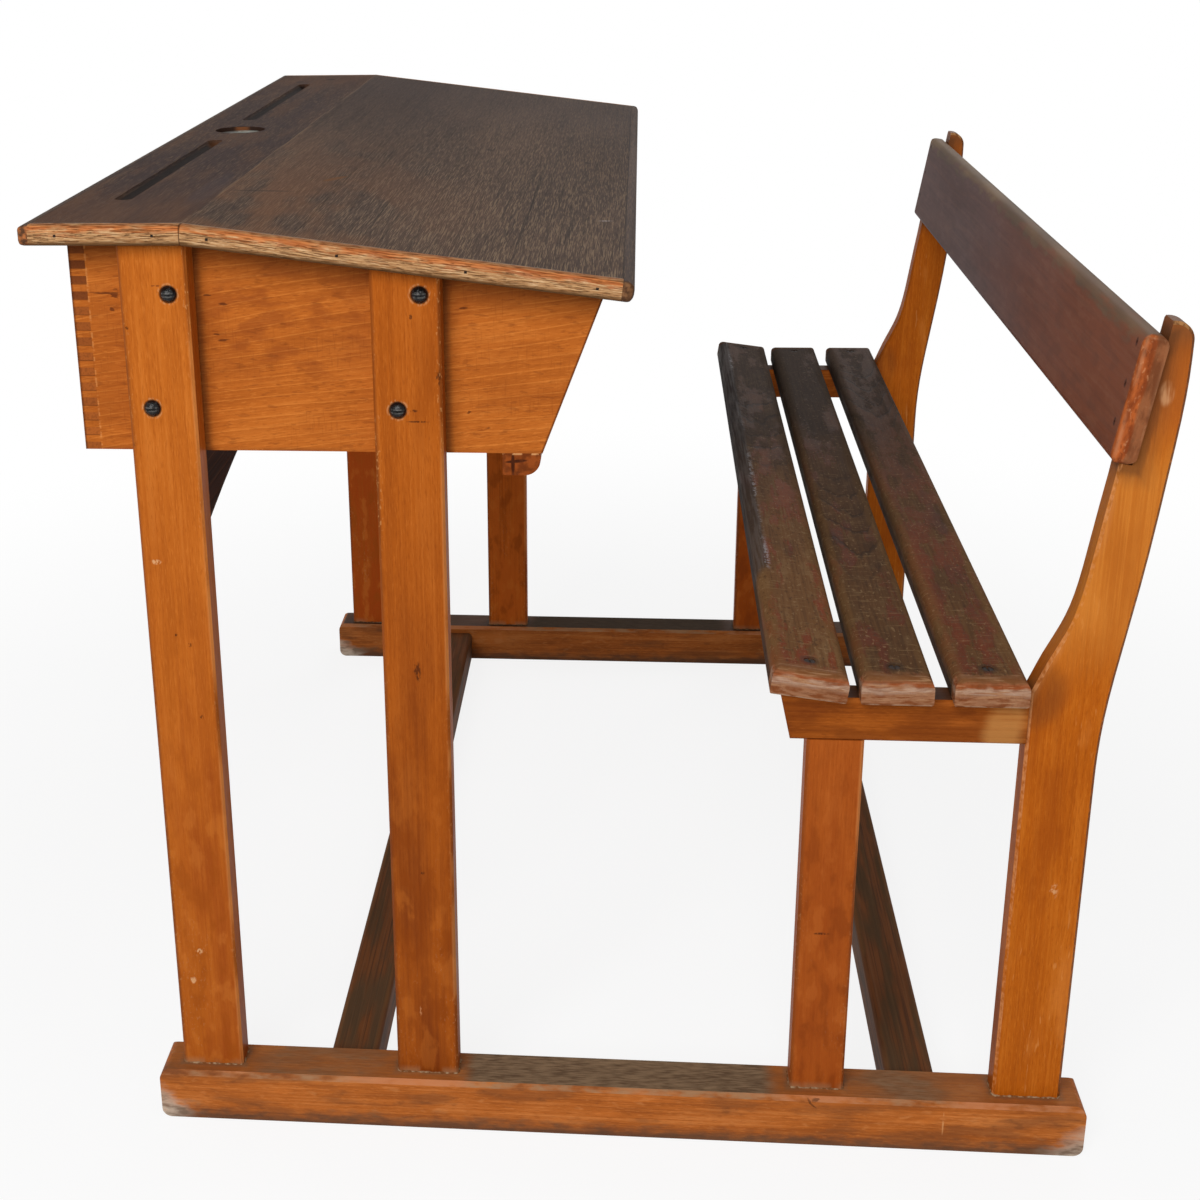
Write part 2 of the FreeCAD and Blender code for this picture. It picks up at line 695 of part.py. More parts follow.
# Frame bolts with domed slotted heads, and the washers and square nuts inside the box
washers = []
nuts = []
dome_radius = (bolt_head_radius ** 2 + bolt_head_height ** 2) / (2 * bolt_head_height)
for index, (y, z) in enumerate(bolt_places):
    middle = Vector(leg_out + bolt_head_height - dome_radius, y, z)
    head_y = around(y, bolt_head_radius * 2)
    slab = box((leg_out, leg_out + bolt_head_height), head_y, around(z, bolt_head_radius * 2))
    head = Part.makeSphere(dome_radius, middle).common(slab)
    slot_x = (leg_out + bolt_head_height - slot_depth, leg_out + bolt_head_height + overrun)
    head = head.cut(box(slot_x, head_y, around(z, slot_width)))
    bolt = head.fuse(pipe(bolt_radius, Vector(leg_out, y, z), bolt_reach, -X_AXIS))
    save_pair("frame_bolt_" + str(index + 1), [bolt])
    bore = pipe(bolt_radius + round_gap, Vector(leg_out, y, z), bolt_reach, -X_AXIS)
    washer = pipe(washer_radius, Vector(side_in, y, z), washer_thickness, -X_AXIS)
    washers.append(washer.cut(bore))
    nut_x = (side_in - washer_thickness - nut_thickness, side_in - washer_thickness)
    nuts.append(box(nut_x, around(y, nut_size), around(z, nut_size)).cut(bore))
save_pair("bolt_washers", washers)
save_pair("bolt_nuts", nuts)

# Inkwell: a flanged cup, turned, hanging in the ledge by its flange
rim = well_rim_radius
flange_top = well_seat + well_flange
well_floor = flange_top - well_height
turning = [(0, well_floor), (well_foot_radius, well_floor), (well_radius, well_floor + well_foot_radius)]
turning += [(well_radius, well_seat), (rim, well_seat)]
turning += [(rim, flange_top - well_soft), (rim - well_soft, flange_top)]
turning += [(well_mouth_radius + well_soft, flange_top), (well_mouth_radius, flange_top - well_soft)]
turning += [(well_mouth_radius, well_seat - well_wall), (well_radius - well_wall, well_seat - well_wall * 2)]
turning += [(well_radius - well_wall, well_floor + well_foot_radius)]
turning += [(well_foot_radius - well_wall, well_floor + well_wall), (0, well_floor + well_wall)]
half_section = [Vector(radius, well_y, level) for radius, level in turning]
cup = Part.Face(Part.makePolygon(half_section + half_section[:1])).revolve(Vector(0, well_y, 0), Z_AXIS)
save("inkwell", [cup])
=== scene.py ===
import bmesh
import bpy
import math
from mathutils import Matrix, Vector


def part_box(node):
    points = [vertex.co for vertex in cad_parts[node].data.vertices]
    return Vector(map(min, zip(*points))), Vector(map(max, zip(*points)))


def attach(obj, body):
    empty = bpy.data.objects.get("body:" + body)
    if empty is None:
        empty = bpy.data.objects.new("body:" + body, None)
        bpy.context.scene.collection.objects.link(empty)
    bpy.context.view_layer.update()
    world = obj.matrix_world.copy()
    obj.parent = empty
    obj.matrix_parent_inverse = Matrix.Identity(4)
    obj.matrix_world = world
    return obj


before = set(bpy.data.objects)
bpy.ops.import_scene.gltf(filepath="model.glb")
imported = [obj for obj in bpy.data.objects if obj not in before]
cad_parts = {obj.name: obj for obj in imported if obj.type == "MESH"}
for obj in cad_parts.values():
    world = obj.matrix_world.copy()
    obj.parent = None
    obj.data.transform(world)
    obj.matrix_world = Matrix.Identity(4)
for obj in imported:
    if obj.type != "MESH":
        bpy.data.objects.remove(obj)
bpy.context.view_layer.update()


# Runners: two floor bars of varnished beech that carry the end frames of desk and bench.
# Planed square, chamfered along the top and rounded at the ends, with a mortise for every foot.
# Shoes have scuffed the top grey between the legs and bared the lower corners.
class Tone:
    """A value, colour or place in a material, worked on with Python's own operators."""

    def __init__(self, material, socket):
        self.material = material
        self.socket = socket

    def make(self, kind, settings, sockets, out=0):
        """Adds a node: its settings first, then the values or links of its sockets."""
        node = self.material.node_tree.nodes.new("ShaderNode" + kind)
        for name, value in settings.items():
            if name == "points":
                line = node.mapping.curves[0].points
                while len(line) < len(value):
                    line.new(0, 0)
                for point, spot in zip(line, value):
                    point.location = spot
                node.mapping.update()
            else:
                setattr(node, name, value)
        for name, value in sockets.items():
            if isinstance(value, Tone):
                self.material.node_tree.links.new(value.socket, node.inputs[name])
            else:
                node.inputs[name].default_value = value
        return Tone(self.material, node.outputs[out] if node.outputs else None)

    def maths(self, operation, *values):
        return self.make("Math", {"operation": operation}, dict(enumerate(values)))

    def __add__(self, other):
        return self.maths("ADD", self, other)

    __radd__ = __add__

    def __sub__(self, other):
        return self.maths("SUBTRACT", self, other)

    def __rsub__(self, other):
        return self.maths("SUBTRACT", other, self)

    def __mul__(self, other):
        return self.maths("MULTIPLY", self, other)

    __rmul__ = __mul__

    def __truediv__(self, other):
        return self.maths("DIVIDE", self, other)

    def __pow__(self, other):
        return self.maths("POWER", self, other)

    def __abs__(self):
        return self.maths("ABSOLUTE", self)

    def least(self, other):
        return self.maths("MINIMUM", self, other)

    def most(self, other):
        return self.maths("MAXIMUM", self, other)

    def between(self, start, end):
        """0 at start and 1 at end, with a soft step between them."""
        return self.make("MapRange", {"interpolation_type": "SMOOTHSTEP"}, {0: self, 1: start, 2: end})

    def tint(self, low, high):
        """The colour low where this value is 0, and high where it is 1."""
        low, high = [end if isinstance(end, Tone) else shade(*end) for end in (low, high)]
        return self.make("Mix", {"data_type": "RGBA"}, {0: self, 6: low, 7: high}, 2)

    def wash(self, mask, red, green, blue):
        """This colour, with another shade laid over it where the mask is 1."""
        return mask.tint(self, (red, green, blue))

    def parts(self):
        split = self.make("SeparateXYZ", {}, {0: self}).socket.node
        return [Tone(self.material, socket) for socket in split.outputs]


def shade(red, green, blue):
    """A colour as the eye reads it, 0 to 255, in the linear light that a shader takes."""
    levels = [level / 255 for level in (red, green, blue)]
    linear = [v / 12.92 if v <= 0.04045 else ((v + 0.055) / 1.055) ** 2.4 for v in levels]
    return (*linear, 1.0)


def begin(name):
    material = bpy.data.materials.new(name)
    material.use_nodes = True
    material.node_tree.nodes.clear()
    return Tone(material, None).make("TexCoord", {}, {}, "Object")


def cloud(place, stretch, seed=0.0, detail=2.0):
    """Soft noise about a half, with so many cells to the metre along each axis."""
    shift = (seed, seed * 1.7, seed * 2.3)
    spot = place.make("VectorMath", {"operation": "MULTIPLY_ADD"}, {0: place, 1: stretch, 2: shift})
    return place.make("TexNoise", {}, {"Vector": spot, "Scale": 1.0, "Detail": detail})


def along(axis, lengthwise, across):
    return tuple(lengthwise if name == axis else across for name in "xyz")


def distance(first, second):
    return (first * first + second * second) ** 0.5


def growth(place, axis, pith, ring, wander, seed):
    """Growth rings of timber whose grain runs along one axis, 0 to 1 across each ring."""
    across = [part for part, name in zip(place.parts(), "xyz") if name != axis]
    reach = distance(across[0] - pith[0], across[1] - pith[1])
    drift = cloud(place, along(axis, 1.7, 9), seed) - 0.5
    return place.maths("FRACT", (reach + drift * wander) / ring)


def fibres(place, axis, seed):
    return cloud(place, along(axis, 7, 520), seed, 3)


def honey(place, axis, pith, ring, seed, colours, lines, wander=0.03, calm=1.0):
    """Varnished beech: mottle, milder where calm is low, faint ring lines, dark and light flecks."""
    pale, body, deep = colours
    rings = growth(place, axis, pith, ring, wander, seed)
    fibre = fibres(place, axis, seed)
    streak = cloud(place, along(axis, 2.4, 130), seed + 3, 3)
    mottle = cloud(place, along(axis, 16, 45), seed + 4, 5)
    tone = streak * 0.3 + mottle * 0.35 + fibre * 0.35
    colour = (tone.between(0.52, 0.4) * (0.55 * calm)).tint(body, deep)
    colour = (tone.between(0.5, 0.61) * (0.5 * calm)).tint(colour, pale)
    colour = (rings.between(0.14, 0.05) * rings.between(0.0, 0.03) * lines).tint(colour, pale)
    colour = (rings.between(0.5, 0.97) * (lines * 0.4)).tint(colour, deep)
    dash = cloud(place, along(axis, 120, 1000), seed + 6, 2)
    colour = (dash.between(0.56, 0.67) * 0.4).tint(colour, deep)
    colour = (dash.between(0.43, 0.33) * 0.35).tint(colour, pale)
    return colour, fibre


def window(value, start, end, soft):
    return value.between(start - soft, start + soft) * value.between(end + soft, end - soft)


def dab(across, up, middle, size):
    """A soft spot on a surface, 1 at its middle."""
    side = (across - middle[0]) / size[0]
    rise = (up - middle[1]) / size[1]
    return (side * side + rise * rise).between(1.0, 0.25)


def facing(place):
    """The three parts of the surface's own direction."""
    return place.make("NewGeometry", {}, {}, "Normal").parts()


def lay(place, things, colour, rough, height, depth, level=0.05, coat=0.0):
    """Puts a finish on CAD nodes or new pieces: colour, roughness and relief, depth in metres."""
    relief = place.make("Bump", {}, {"Height": height, "Distance": depth})
    sockets = {"Base Color": colour, "Roughness": rough, "Normal": relief}
    sockets.update({"Specular IOR Level": level, "Coat Weight": coat, "Coat Roughness": 0.3})
    surface = place.make("BsdfPrincipled", {}, sockets)
    place.make("OutputMaterial", {}, {"Surface": surface})
    for thing in things:
        if isinstance(thing, str):
            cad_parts[thing].material_slots[0].material = place.material
        else:
            thing.data.materials.append(place.material)


def strongest(masks):
    """The largest of several masks at each point."""
    result, *others = masks
    for other in others:
        result = result.most(other)
    return result


def both(name):
    return [name + "_left", name + "_right"]


def near_frame(x):
    """1 on the left end frame, where the marks are known, and 0 on the rest of the desk."""
    return x.between(0.4, 0.42)


def far_half(x):
    """0 at the desk's left end and 1 at its right, with a soft step in the middle."""
    return x.between(0.1, -0.1)


runner_low, runner_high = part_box("runner_left")
leg_names = "desk_rear_leg_left", "desk_front_leg_left", "bench_front_leg_left"
foot_boxes = [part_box(name) for name in leg_names]
post_width = 0.053
post_foot_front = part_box("back_post_left")[0].y
foot_spans = [(low.y, high.y) for low, high in foot_boxes]
foot_spans.append((post_foot_front, post_foot_front + post_width))
leg_inner = foot_boxes[0][0].x
leg_outer = foot_boxes[0][1].x

place = begin("runner_varnish")
x, y, z = place.parts()
side = abs(x)
face_x, _, face_z = facing(place)
runner_colours = (202, 126, 66), (170, 94, 38), (128, 66, 26)
colour, fibre = honey(place, "y", (0.40, -0.06), 0.008, 1.0, runner_colours, 0.16)
grime = cloud(place, (34, 12, 50), 2.0, 5)
scuff = cloud(place, (150, 60, 150), 3.0, 5)
colour = colour.wash(grime.between(0.5, 0.62) * 0.55, 120, 70, 38)
colour = colour.wash(grime.between(0.42, 0.3) * 0.5, 196, 110, 46)
spots = scuff * 0.6 + grime * 0.4
colour = colour.wash(spots.between(0.57, 0.66) * 0.35, 88, 52, 32)
colour = colour.wash(spots.between(0.42, 0.35) * 0.25, 206, 140, 84)
top = face_z.between(0.9, 0.98)
tread = strongest([
    window(y, foot_spans[1][1] + 0.006, foot_spans[2][0] - 0.014, 0.016),
    window(y, foot_spans[0][1] + 0.008, foot_spans[1][0] - 0.008, 0.012) * 0.3,
    window(y, foot_spans[2][1] + 0.006, foot_spans[3][0] - 0.03, 0.03) * 0.45,
])
weather = cloud(place, (600, 80, 600), 4.0, 5)
tired = weather * 0.55 + scuff * 0.25 + grime * 0.2
grey = tired.between(0.38, 0.62).tint((96, 74, 55), (136, 110, 84))
bare = top * (tread * 0.9 + grime * 0.7 + scuff * 0.3 - 0.5).between(0.1, 0.8)
colour = colour.wash(top * 0.5, 138, 86, 46)
colour = bare.tint(colour, grey)
bevel = face_z.between(0.45, 0.62) * face_z.between(0.88, 0.78) * abs(face_x).between(0.4, 0.6)
worn_bevel = (grime + tread * 0.2).between(0.42, 0.74).tint((188, 122, 82), (154, 122, 90))
colour = (bevel * spots.between(0.62, 0.42) * 0.75).tint(colour, worn_bevel)
foot_gaps = []
for start, end in foot_spans:
    gap = (side - leg_outer).most(leg_inner - side).most((start - y).most(y - end))
    foot_gaps.append(gap.between(0.006, 0.001))
colour = colour.wash(top * strongest(foot_gaps) * scuff.between(0.3, 0.55) * 0.45, 104, 86, 66)
dirt = (z + (scuff - 0.5) * 0.02 + (grime - 0.5) * 0.02).between(0.015, 0.0)
colour = colour.wash(dirt * 0.8, 72, 58, 48)
# Painted shade: the top and the inward face of the far runner are darkened, as shade under the desk.
far_shade = far_half(x)
inward = face_x.between(0.5, 0.9)
colour = colour.wash(far_shade * (top * 0.85 + inward * 0.26), 42, 32, 24)
corner_gap = (y - runner_low.y).least(runner_high.y - y)
chipped = (corner_gap + z * 0.9 + (scuff - 0.5) * 0.05 + (grime - 0.5) * 0.06).between(0.036, 0.008)
bruised = scuff.between(0.35, 0.6).tint((124, 106, 90), (196, 180, 162))
colour = (chipped * 0.8).tint(colour, bruised)
near = near_frame(x)
jitter = (scuff - 0.5) * 0.008
crack = dab(y - (0.045 - z) * 0.75 + jitter, z, (0.1725, 0.0395), (0.0012, 0.005))
crack = crack.most(dab(y, z + jitter, (0.1795, 0.0425), (0.004, 0.001)))
colour = colour.wash(near * crack * 0.6, 60, 34, 20)
scratch = dab(y + jitter * 0.2, z, (0.2808, 0.026), (0.0009, 0.013)) * scuff.between(0.4, 0.52)
colour = colour.wash(near * scratch * 0.5, 214, 158, 104)
lay(
    place, both("runner"), colour, 0.5 + bare * 0.25 + dirt * 0.2,
    fibre * 0.4 + scuff * 0.6 - crack * near * 0.5, 0.0008,
)


# Stretchers: two rails near the floor that tie the end frames together, tenoned into the runners.
# Same timber, darkened by polish and dirt and rubbed grey along the top by feet.
def arris(parts, low, high):
    """How far a point on a square-edged piece lies from the nearest arris, in metres."""
    a, b, c = [(part - start).least(end - part) for part, start, end in zip(parts, low, high)]
    return a.least(b).most(a.most(b).least(c))


def stretcher_finish(name, node, seed):
    place = begin(name)
    rings = growth(place, "x", (0.3, -0.04), 0.006, 0.02, seed)
    fibre = fibres(place, "x", seed)
    drift = cloud(place, (12, 80, 80), seed, 6)
    colour = drift.between(0.36, 0.64).tint((108, 64, 34), (68, 45, 28))
    colour = colour.wash(rings.between(0.3, 0.0) * 0.2, 116, 84, 58)
    colour = colour.wash(fibre.between(0.45, 0.7) * 0.6, 46, 33, 25)
    worn = facing(place)[2].between(0.5, 0.95) * drift.between(0.42, 0.58)
    colour = colour.wash(worn * 0.4, 98, 76, 54)
    rub = arris(place.parts(), *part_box(node)).between(0.006, 0.002) * drift.between(0.42, 0.6)
    colour = colour.wash(rub * 0.5, 124, 80, 46)
    lay(place, [node], colour, 0.6 + worn * 0.2, fibre * 0.6 + drift * 0.4, 0.0007, 0.04)


stretcher_finish("desk_stretcher_varnish", "desk_stretcher", 11.0)
stretcher_finish("bench_stretcher_varnish", "bench_stretcher", 14.0)


# Desk legs: four upright posts, chamfered on every long arris, tenoned into the runners.
# Honey varnish on straight-grained beech, redder and darker towards the floor.
bolt_head_radius = 0.006
bolt_spots = []
for index in range(1, 5):
    low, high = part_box("frame_bolt_" + str(index) + "_left")
    bolt_spots.append(((low.y + high.y) / 2, (low.z + high.z) / 2))


def leg_finish(name, node, seed, colours, foot_colour, far_painted_tone, marks):
    """A leg's varnish: pale, body and deep colours, the foot's tone, and a tone painted on the far leg for
    the light and shade it gets there.

    Marks are (y, z, half width, half height, colour), on the near leg alone.
    """
    place = begin(name)
    x, y, z = place.parts()
    low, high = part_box(node + "_left")
    colour, fibre = honey(place, "z", (0.30, low.y - 0.2), 0.006, seed, colours, 0.1, 0.015, 0.6)
    smear = cloud(place, (45, 45, 9), seed + 2, 4)
    fleck = cloud(place, (420, 420, 60), seed + 7, 2)
    grit = cloud(place, (560, 560, 300), seed + 8, 3)
    foot = (z + (smear - 0.5) * 0.3).between(0.62, 0.1)
    footing = (smear * 0.8 + fibre * 0.2).between(0.32, 0.74).tint(foot_colour, colours[1])
    colour = (foot * 0.8).tint(colour, footing)
    colour = (smear.between(0.53, 0.7) * 0.4).tint(colour, colours[2])
    # Painted light and shade: the far legs take a tone of their own, darker on the rear and bench legs and
    # lighter on the front legs, for how light falls on them under the desk.
    far_painted_grain = ((fibre * 0.5 + smear * 0.5).between(0.46, 0.64) * 0.6).tint(far_painted_tone, colours[2])
    colour = (far_half(x) * 0.75).tint(colour, far_painted_grain)
    blotch = cloud(place, (70, 70, 34), seed + 9, 4)
    low_down = z.between(0.45, 0.2)
    colour = (blotch.between(0.52, 0.66) * low_down * 0.6).tint(colour, colours[2])
    colour = (blotch.between(0.47, 0.36) * low_down * 0.25).tint(colour, colours[0])
    edge = arris((abs(x), y, z), low, high)
    rub = edge.between(0.0036, 0.0012)
    sitter_side = (y - (low.y + high.y) / 2).between(-0.01, 0.01)
    colour = colour.wash(rub * sitter_side * smear.between(0.58, 0.42) * 0.3, 222, 156, 92)
    colour = colour.wash(rub * smear.between(0.46, 0.6) * 0.55, 108, 54, 22)
    colour = colour.wash(rub * (1 - sitter_side) * 0.5, 118, 60, 24)
    speckle = edge.between(0.006, 0.001) * grit.between(0.57, 0.67) * smear.between(0.42, 0.56)
    colour = colour.wash(speckle * (z.between(0.48, 0.54) * 0.25 + 0.12), 220, 166, 104)
    dusty = grit.between(0.58, 0.68) * smear.between(0.5, 0.62) * z.between(0.34, 0.1)
    colour = colour.wash(dusty * 0.15, 184, 140, 100)
    rims = [distance(y - across, z - up) - bolt_head_radius for across, up in bolt_spots]
    halo = strongest([rim.between(0.0028, 0.0012) for rim in rims])
    contact = strongest([rim.between(0.0012, 0.0003) for rim in rims])
    colour = colour.wash(halo * grit.between(0.44, 0.58) * 0.3, 214, 166, 118)
    colour = colour.wash(contact * 0.8, 58, 30, 16)
    near = near_frame(x)
    jitter = (grit - 0.5) * 0.006
    pits = []
    for across, up, width, tall, spot_colour in marks:
        spot = near * dab(y + jitter, z, (across, up), (width, tall)) * grit.between(0.36, 0.54)
        colour = (spot * 0.75).tint(colour, spot_colour)
        pits.append(spot)
    dust = z.between(0.053, 0.045) * smear.between(0.4, 0.55)
    colour = colour.wash(dust * 0.5, 160, 124, 90)
    lay(
        place, both(node), colour, 0.44 + smear.between(0.4, 0.7) * 0.15,
        fibre * 0.4 + fleck * 0.3 - strongest(pits) * 0.5, 0.0004,
    )


dark_mark = (62, 28, 12)
pale_mark = (212, 162, 114)
rear_leg_colours = (202, 120, 48), (178, 95, 27), (144, 69, 14)
rear_leg_marks = [
    (-0.3298, 0.4934, 0.005, 0.0025, pale_mark),
    (-0.3199, 0.1538, 0.003, 0.003, pale_mark),
    (-0.3269, 0.1259, 0.0026, 0.004, pale_mark),
    (-0.3369, 0.6733, 0.0013, 0.0016, dark_mark),
    (-0.3385, 0.5861, 0.0013, 0.002, dark_mark),
    (-0.3133, 0.7040, 0.005, 0.0008, (120, 60, 24)),
    (-0.3189, 0.4339, 0.0012, 0.0014, dark_mark),
    (-0.3086, 0.4259, 0.0018, 0.0022, dark_mark),
    (-0.3035, 0.3652, 0.0016, 0.0022, dark_mark),
]
leg_finish(
    "rear_leg_varnish", "desk_rear_leg", 21.0, rear_leg_colours,
    (138, 60, 15), (156, 63, 12), rear_leg_marks,
)
front_leg_colours = (188, 106, 38), (164, 83, 19), (128, 58, 9)
front_leg_marks = [
    (-0.1125, 0.6377, 0.0016, 0.007, dark_mark),
    (-0.1314, 0.6821, 0.0015, 0.0022, dark_mark),
    (-0.1310, 0.6131, 0.0035, 0.0012, dark_mark),
    (-0.1275, 0.6050, 0.010, 0.0008, dark_mark),
    (-0.1340, 0.4074, 0.0028, 0.010, dark_mark),
    (-0.1349, 0.2332, 0.0016, 0.0018, dark_mark),
    (-0.1400, 0.1043, 0.0009, 0.006, (188, 126, 80)),
]
leg_finish(
    "front_leg_varnish", "desk_front_leg", 25.0, front_leg_colours,
    (104, 43, 11), (182, 88, 24), front_leg_marks,
)


# Glue beads: thin lines of old glue and dust that gathered round every foot on the runners.
# Squeezed up out of the mortises when the frames were clamped, uneven and never cleaned off.
bead_size = 0.0011
bead_sink = 0.0003
bead_step = 0.0016
foot_chamfers = [0.0016, 0.0016, 0.0016, 0.0022]


def foot_outline(start, end, cut):
    """Points round a foot's chamfered outline on the near side, each with its outward direction."""
    corners = [
        (leg_inner, start + cut), (leg_inner + cut, start),
        (leg_outer - cut, start), (leg_outer, start + cut),
        (leg_outer, end - cut), (leg_outer - cut, end),
        (leg_inner + cut, end), (leg_inner, end - cut),
    ]
    places = []
    for index, corner in enumerate(corners):
        here = Vector((*corner, runner_high.z))
        run = Vector((*corners[(index + 1) % len(corners)], runner_high.z)) - here
        outward = run.cross(Vector((0, 0, 1))).normalized()
        steps = max(1, round(run.length / bead_step))
        places += [(here + run * (step / steps), outward) for step in range(steps)]
    return places


def glue_bead(name, span, cut, sign, phase):
    mesh = bmesh.new()
    loops = []
    up = Vector((0, 0, 1))
    for index, (spot, outward) in enumerate(foot_outline(*span, cut)):
        swell = 1 + 0.3 * math.sin(index * 0.71 + phase) + 0.25 * math.sin(index * 1.93 + phase * 2.3)
        size = bead_size * swell
        root = spot - (outward + up) * bead_sink
        section = [root, root + up * (size + bead_sink), spot + (outward + up) * (size * 0.45)]
        section.append(root + outward * (size + bead_sink))
        loops.append([mesh.verts.new((point.x * sign, point.y, point.z)) for point in section])
    for index, loop in enumerate(loops):
        following = loops[(index + 1) % len(loops)]
        for corner in range(len(loop)):
            beside = (corner + 1) % len(loop)
            mesh.faces.new((loop[corner], loop[beside], following[beside], following[corner]))
    bmesh.ops.recalc_face_normals(mesh, faces=mesh.faces)
    shape = bpy.data.meshes.new(name)
    mesh.to_mesh(shape)
    mesh.free()
    shape.shade_smooth()
    bead = bpy.data.objects.new(name, shape)
    bpy.context.scene.collection.objects.link(bead)
    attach(bead, "desk")
    return bead


beads = []
for index, (span, cut) in enumerate(zip(foot_spans, foot_chamfers)):
    beads.append(glue_bead("glue_bead_" + str(index + 1) + "_left", span, cut, 1, index * 1.3))
    beads.append(glue_bead("glue_bead_" + str(index + 1) + "_right", span, cut, -1, index * 1.3 + 0.6))
place = begin("old_glue")
crust = cloud(place, (260, 260, 260), 28.0, 4)
colour = crust.between(0.42, 0.66).tint((116, 72, 40), (160, 132, 102))
# Painted shade: the beads on the far runner are darkened.
colour = colour.wash(far_half(place.parts()[0]) * 0.6, 70, 52, 36)
lay(place, beads, colour, 0.7 + crust * 0.2, crust, 0.0003, 0.03)


# Rear apron: a board across the back legs under the book box, its lower edge sawn to an arch.
# Dark stained and never rubbed, so its fibres stay even; its colours are painted darker still as shade
# under the book box.
place = begin("apron_stain_and_shade")
rings = growth(place, "x", (-0.2, 0.35), 0.008, 0.03, 31.0)
fibre = fibres(place, "x", 31.0)
drift = cloud(place, (4, 40, 40), 32.0, 3)
# The stain's colours are painted darker than the stain alone, as shade under the book box.
colour = drift.between(0.3, 0.7).tint((70, 36, 18), (46, 24, 12))
colour = colour.wash(rings.between(0.25, 0.0) * 0.25, 112, 64, 32)
colour = colour.wash(fibre.between(0.45, 0.75) * 0.5, 38, 21, 12)
lay(place, ["rear_apron"], colour, 0.55 + drift * 0.1, fibre, 0.0004, 0.01)


# Book box: back, sides and bottom of sawn boards, open towards the sitter.
# The back's fingers run through the sides, so their end grain shows dark in rows at the corner.
def end_face(place):
    """1 on the faces that look along the desk, such as a long board's sawn ends."""
    return abs(facing(place)[0]).between(0.6, 0.9)


def lot(place, count, seed):
    """A number from 0 to 1 drawn for each whole step of a count, the same at every point of the step."""
    step = place.maths("FLOOR", count)
    return place.make("TexWhiteNoise", {"noise_dimensions": "1D"}, {"W": step + seed})


side_low, side_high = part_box("box_side_left")
finger_rows = 14
panel_thickness = 0.012
finger_pitch = (side_high.z - side_low.z) / finger_rows
finger_root = side_low.y + panel_thickness
ledge_low, ledge_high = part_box("pen_ledge")
slope = math.radians(7.2)
side_lean = math.radians(20.6)
grain_rise = 0.13
place = begin("box_side_varnish")
x, y, z = place.parts()
tilt = place.make("CombineXYZ", {}, {0: x, 1: y, 2: z - (y + 0.2) * grain_rise})
side_colours = (206, 124, 52), (176, 95, 32), (138, 68, 18)
colour, fibre = honey(tilt, "y", (0.40, 0.30), 0.0088, 41.0, side_colours, 0.45, 0.05, 0.6)
haze = cloud(place, (20, 8, 24), 42.0, 4)
colour = colour.wash(haze.between(0.5, 0.66) * 0.35, 136, 66, 19)
ripple = cloud(place, (20, 34, 75), 43.0, 4)
worn_middle = dab(y, z, (-0.225, 0.672), (0.075, 0.055))
colour = colour.wash(worn_middle * ripple.between(0.46, 0.6) * 0.45, 124, 56, 20)
hairline = cloud(place, (50, 760, 60), 46.0, 4)
colour = colour.wash(hairline.between(0.56, 0.68) * haze.between(0.42, 0.58) * 0.22, 120, 56, 18)
fleck = cloud(place, (300, 90, 420), 44.0, 3)
colour = colour.wash(fleck.between(0.59, 0.69) * 0.35, 106, 48, 16)
shadows = [(y - end).between(0.007, 0.001) * (y - end).between(-0.002, 0.0) for _, end in foot_spans[:2]]
colour = colour.wash(strongest(shadows) * 0.6, 76, 38, 18)
jitter = (fleck - 0.5) * 0.010
blemishes = [
    (-0.3500, 0.6931, 0.0026, 0.006), (-0.3590, 0.6940, 0.014, 0.0009), (-0.3527, 0.6820, 0.003, 0.0022),
    (-0.2815, 0.6926, 0.004, 0.0010), (-0.2709, 0.6860, 0.005, 0.0013), (-0.2761, 0.6637, 0.004, 0.0010),
    (-0.2719, 0.6592, 0.005, 0.0011), (-0.0958, 0.6836, 0.003, 0.0010), (-0.0929, 0.6062, 0.0014, 0.0014),
    (-0.0814, 0.5941, 0.004, 0.0009),
]
marks = strongest([
    dab(y + jitter, z + jitter * 0.3, (across, up), (width, tall)) for across, up, width, tall in blemishes
])
colour = colour.wash(marks * near_frame(x) * fleck.between(0.34, 0.5) * 0.75, 74, 32, 14)
# Painted shadow: the side darkens just under the overhanging top.
top_shadow_depth = ledge_low.z - (y - ledge_high.y).most(0.0) * math.tan(slope) - z
colour = colour.wash(top_shadow_depth.between(0.028, 0.0) * 0.5, 96, 46, 18)
# Painted shade: a dark line along the slanted front edge of the side.
front_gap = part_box("box_bottom")[1].y + (z - side_low.z) * math.tan(side_lean) - y
colour = colour.wash(front_gap.between(0.0020, 0.0008) * 0.75, 74, 36, 16)
low_edge = (z - side_low.z).between(0.004, 0.0005) * haze.between(0.35, 0.6)
colour = colour.wash(low_edge * 0.6, 104, 54, 24)
joint = place.maths("PINGPONG", z - side_low.z, finger_pitch / 2).between(0.0011, 0.0003)
joint = joint * (y - finger_root).between(0.0004, -0.0002)
colour = colour.wash(joint * 0.7, 82, 40, 18)
glue = abs(y - finger_root - 0.0004).between(0.0011, 0.0003) * fleck.between(0.42, 0.56)
colour = colour.wash(glue * 0.35, 214, 146, 82)
outer = (y - side_low.y).between(0.0022, 0.0006)
colour = colour.wash(outer * 0.6, 70, 34, 16)
lay(place, both("box_side"), colour, 0.45 + haze * 0.12, fibre * 0.5 + ripple * 0.3, 0.0005)

